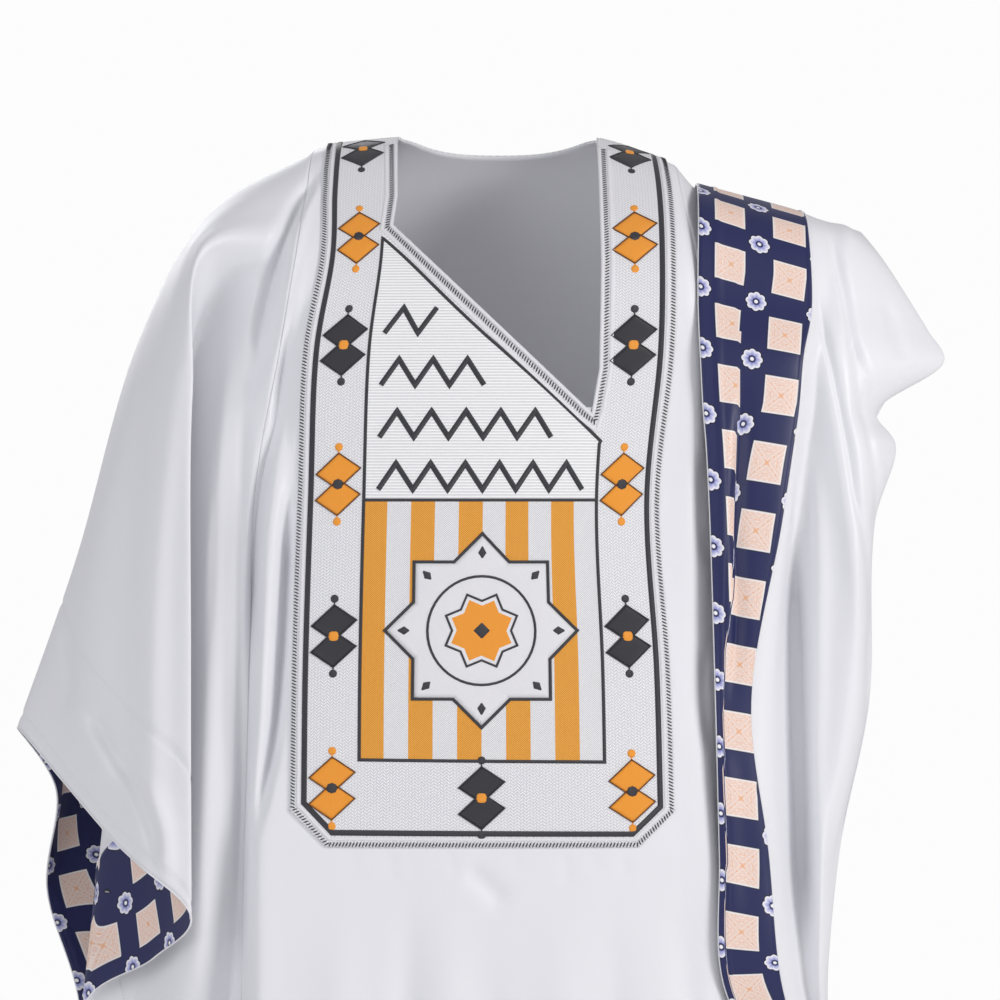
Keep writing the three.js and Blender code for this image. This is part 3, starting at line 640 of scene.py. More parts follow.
def hanging_layer():
    """Its last rings lie evenly over the facing, FACING_DEPTH deep on every line."""
    mouth = hanging_sheet.points_down - 1
    fine = np.linspace(0, mouth, LINE_POINTS)
    starts = []
    for line in range(hanging_sheet.count):
        points = hanging_sheet.on_line(np.full(fine.shape, line), fine)
        ran = lengths(points, 0)
        starts.append(np.interp(ran[-1] - FACING_DEPTH, ran, fine))
    starts = np.array(starts)
    above = np.arange(HANGING_ALONG)[:, None] / HANGING_ALONG * starts
    within = starts + np.linspace(0, 1, HANGING_FACING + 1)[:, None] * (mouth - starts)
    downs = np.concatenate([above, within])
    across = places([HANGING_ROUND] * hanging_sheet.spans)[:-1]
    across = np.broadcast_to(across, (len(downs), len(across)))
    downs_at = np.broadcast_to(downs[:, None, :], across.shape + (hanging_sheet.count,))
    points = hanging_sheet.at(downs_at, across)
    return press(Layer(points, downs.mean(1)[:, None], across, closed=True), HANGING_FOLDS)


def folded_layer():
    across = places([FOLDED_ROUND] * folded_sheet.spans)[:-1][::-1]
    down = places(FOLDED_ALONG)[:, None]
    across = np.broadcast_to(across, (len(down), len(across)))
    points = folded_sheet.at(np.broadcast_to(down, across.shape)[..., None], across)
    return press(Layer(points, down, across, closed=True), FOLDED_FOLDS)


# ---------------------------------------------------------------------------------------------
# Meshes
def new_object(name, points, faces, uvs=None):
    """A mesh object. points are in millimetres, and uvs, one for each corner, too."""
    mesh = bpy.data.meshes.new(name)
    mesh.from_pydata((np.asarray(points) * MM).tolist(), [], [list(map(int, f)) for f in faces])
    if uvs is not None:
        layer = mesh.uv_layers.new(name="cloth")
        layer.data.foreach_set("uv", (np.asarray(uvs, np.float32) * MM).ravel())
    mesh.polygons.foreach_set("use_smooth", [True] * len(mesh.polygons))
    mesh.update()
    made = bpy.data.objects.new(name, mesh)
    bpy.context.scene.collection.objects.link(made)
    return made


def grid_faces(rows, columns):
    """Quads of a grid, seen from the side that the cloth faces."""
    index = np.arange(rows * columns).reshape(rows, columns)
    quads = [index[:-1, :-1], index[1:, :-1], index[1:, 1:], index[:-1, 1:]]
    return np.stack(quads, axis=-1).reshape(-1, 4)


def shell(name, layer, thickness, lift=0, keep=None, uv=None):
    """A thin wall of cloth round a layer, lift off it. keep says which quads of the grid stay."""
    rows, columns = layer.points.shape[:2]
    wide = columns + 1 if layer.closed else columns
    corner = grid_faces(rows, wide)
    if keep is not None:
        corner = corner[keep.ravel()]
    row, column = corner // wide, corner % wide
    vertex = row * columns + column % columns
    middle = layer.points.reshape(-1, 3)
    normals = layer.normals.reshape(-1, 3)
    used, packed = np.unique(vertex, return_inverse=True)
    vertex = packed.reshape(vertex.shape)
    outer = middle[used] + normals[used] * (lift + thickness / 2)
    inner = middle[used] + normals[used] * (lift - thickness / 2)
    count = len(used)
    if uv is None:
        uv = np.stack([layer.run_across, -layer.run_down], axis=-1)
    uv_at = uv.reshape(-1, 2)[corner]
    sides = np.stack([vertex, np.roll(vertex, -1, axis=1)], axis=-1).reshape(-1, 2)
    uv_sides = np.stack([uv_at, np.roll(uv_at, -1, axis=1)], axis=2).reshape(-1, 2, 2)
    codes = sides[:, 0] * count + sides[:, 1]
    alone = ~np.isin(sides[:, 1] * count + sides[:, 0], codes)
    rim, rim_uv = sides[alone], uv_sides[alone]
    rims = np.stack([rim[:, 1], rim[:, 0], rim[:, 0] + count, rim[:, 1] + count], axis=-1)
    rims_uv = np.stack([rim_uv[:, 1], rim_uv[:, 0], rim_uv[:, 0], rim_uv[:, 1]], axis=1)
    faces = np.concatenate([vertex, vertex[:, ::-1] + count, rims])
    uvs = np.concatenate([uv_at, uv_at[:, ::-1], rims_uv]).reshape(-1, 2)
    return new_object(name, np.concatenate([outer, inner]), faces, uvs)


def inside(points, outline):
    """Which (x, z) points lie within a closed outline."""
    x, z = points[..., 0], points[..., 1]
    found = np.zeros(x.shape, bool)
    for (x0, z0), (x1, z1) in zip(outline, [*outline[1:], outline[0]]):
        crosses = (z0 > z) != (z1 > z)
        with np.errstate(divide="ignore", invalid="ignore"):
            at = x0 + (z - z0) * (x1 - x0) / (z1 - z0)
        found ^= crosses & (x < at)
    return found


def trim(layer, outline):
    """Cuts the part of a layer that lies within an outline. Returns which quads stay. The points
    along the cut slide over the cloth to the outline."""
    seen = layer.points[..., [0, 2]]
    middles = (seen[:-1, :-1] + seen[1:, :-1] + seen[1:, 1:] + seen[:-1, 1:]) / 4
    keep = ~inside(middles, outline)
    near = np.zeros(seen.shape[:2] + (2,), bool)
    for i in (0, 1):
        for j in (0, 1):
            rows, columns = slice(i, i + keep.shape[0]), slice(j, j + keep.shape[1])
            near[rows, columns, 0] |= keep
            near[rows, columns, 1] |= ~keep
    edge = near.all(axis=-1)
    rows, columns = np.nonzero(edge)
    points = seen[rows, columns]
    target = np.empty_like(points)
    best = np.full(len(points), 1e9)
    ends = [*outline[1:], outline[0]]
    for a, b in zip(np.array(outline, float), np.array(ends, float)):
        line = b - a
        along = np.clip(((points - a) @ line) / (line @ line), 0, 1)
        place = a + along[:, None] * line
        distance = np.linalg.norm(points - place, axis=1)
        nearer = distance < best
        best[nearer], target[nearer] = distance[nearer], place[nearer]
    for corner in np.array(outline, float):
        distance = np.linalg.norm(points - corner, axis=1)
        if distance.min() < CORNER_NEAR:
            target[np.argmin(distance)] = corner
    moved = target - points
    down = np.gradient(layer.points, axis=0)[rows, columns]
    across = np.gradient(layer.points, axis=1)[rows, columns]
    # Solve for the steps along the grid that give this move as it is seen from the front.
    det = down[:, 0] * across[:, 2] - across[:, 0] * down[:, 2]
    a = (moved[:, 0] * across[:, 2] - across[:, 0] * moved[:, 1]) / det
    b = (down[:, 0] * moved[:, 1] - moved[:, 0] * down[:, 2]) / det
    layer.points[rows, columns] += a[:, None] * down + b[:, None] * across
    layer.measure()
    return keep


def corner_outlines(layer):
    """The triangles cut off the bib's lower corners, as seen from the front."""
    for column, out in ((0, -1), (-1, 1)):
        x, z = layer.points[-1, column, 0], layer.points[-1, column, 2]
        past = BIB_CORNER + CUT_PAST
        yield [(x - out * BIB_CORNER, z), (x, z + BIB_CORNER), (x + out * CUT_PAST, z + past),
               (x + out * CUT_FAR, z - CUT_FAR), (x - out * past, z - CUT_PAST)]


# ---------------------------------------------------------------------------------------------
# Materials
def linear(colour):
    """A colour written as rrggbb, for a shader's socket."""
    parts = [int(colour[i:i + 2], 16) / 255 for i in (0, 2, 4)]
    return tuple(c / 12.92 if c <= 0.04045 else ((c + 0.055) / 1.055) ** 2.4 for c in parts) + (1,)


class Nodes:
    """Short ways to put nodes into a tree."""

    def __init__(self, tree):
        self.tree = tree

    def node(self, kind, **settings):
        made = self.tree.nodes.new(kind)
        for name, value in settings.items():
            setattr(made, name, value)
        return made

    def put(self, socket, value):
        if isinstance(value, bpy.types.NodeSocket):
            self.tree.links.new(value, socket)
        elif value is not None:
            socket.default_value = value

    def math(self, operation, *values):
        made = self.node("ShaderNodeMath", operation=operation)
        for socket, value in zip(made.inputs, values):
            self.put(socket, value)
        return made.outputs[0]

    def times(self, *values):
        return self.math("MULTIPLY", *values)

    def plus(self, *values):
        return self.math("ADD", *values)

    def minus(self, *values):
        return self.math("SUBTRACT", *values)

    def scaled(self, value, factor, start):
        return self.math("MULTIPLY_ADD", value, factor, start)

    def cloth_uv(self):
        return self.node("ShaderNodeUVMap", uv_map="cloth").outputs[0]

    def split(self, vector):
        """Its x and its y."""
        made = self.node("ShaderNodeSeparateXYZ")
        self.put(made.inputs[0], vector)
        return made.outputs[0], made.outputs[1]

    def mix(self, share, first, second):
        made = self.node("ShaderNodeMix", data_type="RGBA")
        for index, value in ((0, share), (6, first), (7, second)):
            self.put(made.inputs[index], value)
        return made.outputs[2]

    def step(self, low, high, value):
        """0 below low, 1 above high."""
        made = self.node("ShaderNodeMapRange")
        for index, given in ((0, value), (1, low), (2, high), (3, 0), (4, 1)):
            self.put(made.inputs[index], given)
        return made.outputs[0]

    def noise(self, vector, scale, detail=2, roughness=0.5):
        made = self.node("ShaderNodeTexNoise")
        self.put(made.inputs["Vector"], vector)
        self.put(made.inputs["Scale"], scale)
        self.put(made.inputs["Detail"], detail)
        self.put(made.inputs["Roughness"], roughness)
        return made.outputs["Fac"]

    def bump(self, height, strength, distance):
        made = self.node("ShaderNodeBump")
        self.put(made.inputs["Strength"], strength)
        self.put(made.inputs["Distance"], distance)
        self.put(made.inputs["Height"], height)
        return made.outputs["Normal"]

    def group(self, group, **inputs):
        made = self.node("ShaderNodeGroup", node_tree=group)
        for name, value in inputs.items():
            self.put(made.inputs[name], value)
        return made.outputs


def new_group(name, inputs, outputs):
    """An empty node group with named sockets, its Nodes, and its input and output nodes."""
    group = bpy.data.node_groups.new(name, "ShaderNodeTree")
    kinds = {"vector": "NodeSocketVector", "value": "NodeSocketFloat", "colour": "NodeSocketColor"}
    for label, kind in inputs:
        group.interface.new_socket(label, in_out="INPUT", socket_type=kinds[kind])
    for label, kind in outputs:
        group.interface.new_socket(label, in_out="OUTPUT", socket_type=kinds[kind])
    nodes = Nodes(group)
    return group, nodes, nodes.node("NodeGroupInput").outputs, nodes.node("NodeGroupOutput").inputs


def new_material(name):
    made = bpy.data.materials.new(name)
    made.use_nodes = True
    return made, Nodes(made.node_tree), made.node_tree.nodes["Principled BSDF"].inputs


def satin_weave():
    """The soft shine of satin: a fine slanting weave and faint crumples."""
    group, n, given, out = new_group(
        "satin weave", [("Cloth", "vector"), ("Place", "vector")],
        [("Shade", "value"), ("Roughness", "value"), ("Height", "value")])
    u, v = n.split(given["Cloth"])
    slant = n.plus(u, n.times(v, WEAVE_SLANT))
    weave = n.math("SINE", n.times(slant, 2 * math.pi / THREAD_PITCH))
    crumple = n.noise(given["Place"], 26, 3, 0.55)
    soft = n.noise(given["Place"], 7, 2, 0.5)
    height = n.plus(n.times(crumple, 0.9), n.times(weave, 0.012))
    n.put(out["Shade"], n.scaled(soft, 0.05, 0.975))
    n.put(out["Roughness"], n.scaled(crumple, 0.12, 0.36))
    n.put(out["Height"], height)
    return group


SATIN_WEAVE = satin_weave()


def woven(n):
    """The cloth's own coordinates, and the satin's weave on them."""
    uv = n.cloth_uv()
    place = n.node("ShaderNodeTexCoord").outputs["Object"]
    return uv, n.group(SATIN_WEAVE, Cloth=uv, Place=place)


def satin_material():
    made, n, shader = new_material("white satin")
    weave = woven(n)[1]
    tint = n.mix(weave["Shade"], linear("dcdce6"), linear("eeeef2"))
    n.put(shader["Base Color"], tint)
    n.put(shader["Roughness"], weave["Roughness"])
    n.put(shader["Normal"], n.bump(weave["Height"], 0.35, 0.0012))
    shader["Sheen Weight"].default_value = 0.12
    shader["Sheen Roughness"].default_value = 0.4
    shader["Specular IOR Level"].default_value = 0.45
    return made


def squares_and_flowers():
    """The facing's print: a lattice of squares with small flowers between them."""
    group, n, given, out = new_group("squares and flowers", [("Cloth", "vector")], [("Colour", "colour")])
    u, v = n.split(given["Cloth"])
    x = n.scaled(u, TO_MM, PRINT_ACROSS / 2 - PRINT_FIRST)
    y = n.scaled(x, PRINT_SLOPE, n.times(v, TO_MM))

    def within_cell(value, pitch, offset):
        cell = n.math("FRACT", n.plus(n.math("DIVIDE", value, pitch), offset))
        return n.times(n.minus(cell, 0.5), pitch)

    def below(value, limit, soft=0.35):
        return n.step(limit + soft, limit - soft, value)

    def polar(a, b):
        radius = n.math("SQRT", n.plus(n.times(a, a), n.times(b, b)))
        return radius, n.math("ARCTAN2", b, a)

    # The squares: a peach ground with fine scrolls, a white edge and a thin black outline.
    sx, sy = within_cell(x, PRINT_ACROSS, 0), within_cell(y, PRINT_ALONG, 0)
    ax, ay = n.math("ABSOLUTE", sx), n.math("ABSOLUTE", sy)
    past_edge = n.math("MAXIMUM", n.minus(ax, PRINT_WIDE / 2), n.minus(ay, PRINT_HIGH / 2))
    radius, angle = polar(ax, ay)
    petals = n.math("COSINE", n.times(angle, 4))
    scroll = n.math("SINE", n.plus(n.times(radius, 1.5), n.times(petals, 2.4)))
    scroll = n.times(scroll, n.math("COSINE", n.times(n.minus(ax, ay), 0.75)))
    scroll_lines = below(n.math("ABSOLUTE", scroll), 0.16, 0.12)
    buds = n.step(0.72, 0.9, n.times(n.math("SINE", n.times(ax, 0.95)), n.math("SINE", n.times(ay, 0.95))))
    buds = n.times(buds, below(past_edge, -2.8))
    heart = below(radius, 1.5)
    peach = n.mix(n.times(scroll_lines, 0.75), linear("f0d2c4"), linear("fbeee6"))
    peach = n.mix(n.times(buds, 0.6), peach, linear("f0a860"))
    peach = n.mix(n.times(heart, 0.6), peach, linear("efa24e"))
    colour = n.mix(below(past_edge, 0.9), linear("262a58"), linear("0c0d18"))
    colour = n.mix(below(past_edge, 0.2), colour, linear("f6f2f4"))
    colour = n.mix(below(past_edge, -0.8), colour, peach)

    # The flowers: eight scalloped lobes, white at the rim, with a dark ring round a white eye.
    fx, fy = within_cell(x, PRINT_ACROSS, 0.5), within_cell(y, PRINT_ALONG, 0.5)
    radius, angle = polar(fx, fy)
    lobes = n.math("ABSOLUTE", n.math("COSINE", n.times(angle, 4)))
    from_rim = n.minus(n.scaled(lobes, 1.35, PRINT_FLOWER), radius)
    colour = n.mix(n.step(-1.1, -0.6, from_rim), colour, linear("0a0b16"))
    petal = n.mix(n.step(0.4, 4.6, from_rim), linear("f4f3fb"), linear("8f93cf"))
    colour = n.mix(n.step(-0.2, 0.2, from_rim), colour, petal)
    colour = n.mix(below(radius, 3), colour, linear("1f2350"))
    colour = n.mix(below(radius, 1.5), colour, linear("fafaff"))
    n.put(out["Colour"], colour)
    return group


def printed_material():
    made, n, shader = new_material("printed facing")
    uv, weave = woven(n)
    colour = n.group(squares_and_flowers(), Cloth=uv)["Colour"]
    n.put(shader["Base Color"], colour)
    n.put(shader["Roughness"], weave["Roughness"])
    n.put(shader["Normal"], n.bump(weave["Height"], 0.3, 0.0012))
    shader["Specular IOR Level"].default_value = 0.4
    return made


def satin_stitch():
    """Rows of slanting thread, laid side by side across a stitched shape. Its Shade output is painted shade,
    darker in the grooves between the threads, with a random wander in tone.
    """
    group, n, given, out = new_group("satin stitch", [("Cloth", "vector"), ("Pitch", "value")],
                                     [("Shade", "value"), ("Height", "value")])
    u, v = n.split(given["Cloth"])
    slant = n.scaled(v, THREAD_SLANT, u)
    turn = n.times(n.math("DIVIDE", slant, given["Pitch"]), math.pi)
    thread = n.math("ABSOLUTE", n.math("SINE", turn))
    wander = n.noise(given["Cloth"], 900, 2)
    n.put(out["Height"], n.scaled(wander, 0.35, thread))
    # Painted shade: the colour darkens in the grooves between the threads.
    painted_groove_shade = n.scaled(thread, 0.22, 0.72)
    n.put(out["Shade"], n.scaled(wander, 0.12, painted_groove_shade))
    return group


SATIN_STITCH = satin_stitch()


def thread_material(name, colour, dark, roughness):
    made, n, shader = new_material(name)
    uv = n.cloth_uv()
    stitch = n.group(SATIN_STITCH, Cloth=uv, Pitch=THREAD_PITCH)
    # The thread's colour goes toward its dark colour in the grooves between threads: painted shade.
    n.put(shader["Base Color"], n.mix(stitch["Shade"], linear(dark), linear(colour)))
    n.put(shader["Normal"], n.bump(stitch["Height"], 0.5, 0.0004))
    shader["Roughness"].default_value = roughness
    shader["Sheen Weight"].default_value = 0.1
    return made


def stitched_ground():
    """The bib's stitched ground: slanting basket stitches in its border, cords in the upper field,
    and bands of slanting stitches in the lower one. Its colour is darker in the grooves between stitches, as
    painted shade, with a random tone from loose noise."""
    group, n, given, out = new_group(
        "stitched ground", [("Cloth", "vector"), ("Upper", "value"), ("Lower", "value"), ("Band", "value")],
        [("Colour", "colour"), ("Height", "value")])
    u, v = n.split(given["Cloth"])
    x = n.times(u, TO_MM)
    y = n.times(v, TO_MM)

    def wave(value, pitch):
        return n.scaled(n.math("SINE", n.times(value, 2 * math.pi / pitch)), 0.5, 0.5)

    row = n.math("FLOOR", n.math("DIVIDE", x, BASKET))
    way = n.scaled(n.math("FLOORED_MODULO", row, 2), 2, -1)
    basket = wave(n.scaled(n.times(x, way), 0.9, y), BASKET)
    between_rows = n.math("ABSOLUTE", n.math("SINE", n.times(x, math.pi / BASKET)))
    basket = n.times(basket, n.scaled(between_rows, 0.6, 0.4))
    cords = n.math("ABSOLUTE", n.math("SINE", n.times(y, math.pi / CORD_PITCH)))
    slant = wave(n.scaled(x, 0.8, y), 1.5)
    height = n.times(basket, n.minus(1, n.math("MAXIMUM", given["Upper"], given["Lower"])))
    height = n.scaled(cords, given["Upper"], height)
    height = n.scaled(slant, given["Lower"], height)
    loose = n.noise(given["Cloth"], 700, 2)
    height = n.scaled(loose, 0.25, height)
    # Painted shade: white and orange both darken where the stitches are low, in the grooves between them; the
    # loose noise adds a random tone.
    white = n.mix(height, linear("d2d1d9"), linear("ffffff"))
    orange = n.mix(height, linear("d98a1c"), linear("ffb548"))
    n.put(out["Colour"], n.mix(given["Band"], white, orange))
    n.put(out["Height"], height)
    return group


STITCHED_GROUND = stitched_ground()


def ground_material(name, fields=None):
    """fields is the side, divider, foot and slant of the bib's central panel, in its own
    coordinates, or None for plain ground."""
    made, n, shader = new_material(name)
    uv = n.cloth_uv()
    masks = {"Upper": 0.0, "Lower": 0.0, "Band": 0.0}
    if fields:
        side, divider, foot, (x0, v0), (x1, v1) = fields
        across, down = n.split(uv)
        x = n.times(across, TO_MM)
        v = n.times(down, -TO_MM)
        in_panel = n.math("LESS_THAN", n.math("ABSOLUTE", x), side)
        slope = (v1 - v0) / (x1 - x0)
        under_slant = n.math("GREATER_THAN", v, n.scaled(x, slope, v0 - x0 * (v1 - v0) / (x1 - x0)))
        above = n.math("LESS_THAN", v, divider)
        upper = n.times(in_panel, n.times(under_slant, above))
        lower = n.times(n.times(in_panel, n.math("LESS_THAN", v, foot)), n.minus(1, above))
        band = n.math("LESS_THAN", n.math("FRACT", n.math("DIVIDE", n.plus(x, side), 2 * STRIPE)), 0.5)
        masks = {"Upper": upper, "Lower": lower, "Band": n.times(band, lower)}
    ground = n.group(STITCHED_GROUND, Cloth=uv, **masks)
    n.put(shader["Base Color"], ground["Colour"])
    n.put(shader["Normal"], n.bump(ground["Height"], 0.55, 0.0007))
    shader["Roughness"].default_value = 0.62
    shader["Sheen Weight"].default_value = 0.1
    return made


def plain_material(name, colour, roughness):
    made, n, shader = new_material(name)
    place = n.node("ShaderNodeTexCoord").outputs["Object"]
    speck = n.noise(place, 900, 2)
    light = linear(colour)
    dark = (*(part * 0.86 for part in light[:3]), 1)
    n.put(shader["Base Color"], n.mix(speck, light, dark))
    shader["Roughness"].default_value = roughness
    return made


# ---------------------------------------------------------------------------------------------
# The camera, the light and the floor
def look_from_the_front():
    lens = bpy.data.cameras.new("camera")
    lens.lens, lens.sensor_width = 135, 36
    lens.clip_start, lens.clip_end = 0.1, 60
    camera = bpy.data.objects.new("camera", lens)
    camera.location = (0, -3, -0.28)
    camera.rotation_euler = (math.pi / 2, 0, 0)
    bpy.context.scene.collection.objects.link(camera)
    bpy.context.scene.camera = camera


def soft_light(name, place, towards, size, power, colour=(1, 1, 1)):
    data = bpy.data.lights.new(name, "AREA")
    data.shape, data.size, data.energy, data.color = "SQUARE", size, power, colour
    light = bpy.data.objects.new(name, data)
    light.location = place
    aim = np.array(towards) - np.array(place)
    yaw = math.atan2(aim[0], -aim[1])
    tilt = math.atan2(math.hypot(aim[0], aim[1]), -aim[2])
    light.rotation_euler = (tilt, 0, yaw + math.pi)
    bpy.context.scene.collection.objects.link(light)


def set_up_studio():
    soft_light("key", (2.9, -2.5, 0.7), (0, 0, -0.35), 1.3, 68, (1, 0.985, 0.975))
    soft_light("fill", (-2.4, -2.8, 0.5), (0, 0, -0.5), 2.4, 32, (0.96, 0.97, 1))
    soft_light("back", (-0.8, 3, 1.0), (0, 0, -0.5), 1.8, 30)
    world = bpy.data.worlds.new("studio")
    world.use_nodes = True
    n = Nodes(world.node_tree)
    room = world.node_tree.nodes["Background"]
    room.inputs["Color"].default_value = (0.965, 0.965, 1, 1)
    room.inputs["Strength"].default_value = 0.42
    wall = n.node("ShaderNodeBackground")
    wall.inputs["Color"].default_value = (1, 1, 1, 1)
    wall.inputs["Strength"].default_value = 0.98
    mix = n.node("ShaderNodeMixShader")
    n.put(mix.inputs[0], n.node("ShaderNodeLightPath").outputs["Is Camera Ray"])
    n.put(mix.inputs[1], room.outputs[0])
    n.put(mix.inputs[2], wall.outputs[0])
    n.put(world.node_tree.nodes["World Output"].inputs[0], mix.outputs[0])
    bpy.context.scene.world = world
    bpy.context.scene.view_settings.view_transform = "Standard"
    count, reach, level = 96, 3300, -1165
    turns = np.arange(count) * 2 * math.pi / count
    rim = [(reach * math.cos(turn), reach * math.sin(turn), level) for turn in turns]
    floor = new_object("floor", rim, [range(count)])
    floor.data.materials.append(plain_material("floor", "f4f4f4", 0.8))


look_from_the_front()
set_up_studio()

# ---------------------------------------------------------------------------------------------
# Stitching on the bib
def sample(grid, row, column):
    """Values of a grid between its points."""
    row = np.clip(row, 0, grid.shape[0] - 1.000001)
    column = np.clip(column, 0, grid.shape[1] - 1.000001)
    i, j = row.astype(int), column.astype(int)
    a, b = row - i, column - j
    if grid.ndim > 2:
        a, b = a[..., None], b[..., None]
    top = grid[i, j] * (1 - b) + grid[i, j + 1] * b
    return top * (1 - a) + (grid[i + 1, j] * (1 - b) + grid[i + 1, j + 1] * b) * a


class Panel:
    """Places on the bib in its own coordinates, in millimetres: u across from its middle, with its
    sides at BIB_HALF, and v down from the shoulder line."""

    FINE = 2  # steps in a millimetre of the table that gives columns
    ROUNDS, REACH, LEAST = 12, 40, 0.05  # of the search for a place that is seen at a point

    def __init__(self, layer, lift):
        self.points, self.normals, self.lift = layer.points.copy(), layer.normals.copy(), lift
        run = layer.run_across
        middle = int(np.argmin(np.abs(layer.across[0] - (BIB_LINES[0] + BIB_LINES[1]) / 2)))
        centre = run[:, middle:middle + 1]
        self.u = (run - centre) / np.where(run < centre, centre, run[:, -1:] - centre) * BIB_HALF
        self.v = layer.run_down.mean(axis=1)
        self.length = self.v[-1]
        fine = np.linspace(-BIB_HALF, BIB_HALF, 2 * BIB_HALF * self.FINE + 1)
        columns = np.arange(run.shape[1])
        self.column_at = np.array([np.interp(fine, row, columns) for row in self.u])

    def uv(self):
        return np.stack([self.u, np.broadcast_to(-self.v[:, None], self.u.shape)], axis=-1)

    def in_grid(self, place):
        """The rows and columns of the layer at places (u, v)."""
        row = np.interp(place[..., 1], self.v, np.arange(len(self.v)))
        return row, sample(self.column_at, row, (place[..., 0] + BIB_HALF) * self.FINE)

    def at(self, place, height=0.0):
        """Points over places (u, v), height above the bib's face."""
        spot = self.in_grid(np.asarray(place, float))
        height = np.asarray(height, float)
        lift = (self.lift + height)[..., None] if height.ndim else self.lift + height
        return sample(self.points, *spot) + sample(self.normals, *spot) * lift

    def out(self, place):
        return sample(self.normals, *self.in_grid(place))

    def find(self, seen):
        """The places whose points are seen from the front at (x, z)."""
        seen = np.asarray(seen, float)
        place = np.stack([seen[..., 0] + 10, 40 - seen[..., 1]], axis=-1)
        for _ in range(self.ROUNDS):
            here = self.at(place)[..., [0, 2]]
            step_u = self.at(place + [1, 0])[..., [0, 2]] - here
            step_v = self.at(place + [0, 1])[..., [0, 2]] - here
            off = seen - here
            det = step_u[..., 0] * step_v[..., 1] - step_v[..., 0] * step_u[..., 1]
            det = np.where(np.abs(det) < self.LEAST, self.LEAST, det)
            du = (off[..., 0] * step_v[..., 1] - step_v[..., 0] * off[..., 1]) / det
            dv = (step_u[..., 0] * off[..., 1] - off[..., 0] * step_u[..., 1]) / det
            place = place + np.clip(np.stack([du, dv], axis=-1), -self.REACH, self.REACH)
            place[..., 0] = np.clip(place[..., 0], -BIB_HALF, BIB_HALF)
            place[..., 1] = np.clip(place[..., 1], 0, self.length)
        return place


def stepped(path, step, closed=False):
    """A path with points no further apart than step. Its corners stay."""
    path = np.array(path, float)
    if closed:
        path = np.concatenate([path, path[:1]])
    found = []
    for a, b in zip(path[:-1], path[1:]):
        count = max(1, int(np.ceil(np.linalg.norm(b - a) / step)))
        found += [a + (b - a) * i / count for i in range(count)]
    return np.array(found if closed else [*found, path[-1]])


def sideways(path, closed=False):
    """The direction to a path's left at each point, longer at corners so that sides stay parallel."""
    if closed:
        before, after = np.roll(path, 1, axis=0), np.roll(path, -1, axis=0)
    else:
        before = np.concatenate([path[:1] * 2 - path[1:2], path[:-1]])
        after = np.concatenate([path[1:], path[-1:] * 2 - path[-2:-1]])
    a, b = path - before, after - path
    a /= np.linalg.norm(a, axis=1, keepdims=True)
    b /= np.linalg.norm(b, axis=1, keepdims=True)
    both = a + b
    both /= np.maximum(np.linalg.norm(both, axis=1, keepdims=True), 1e-6)
    stretch = 1 / np.maximum(np.sum(both * a, axis=1, keepdims=True), 0.6)
    return np.stack([-both[:, 1], both[:, 0]], axis=1) * stretch


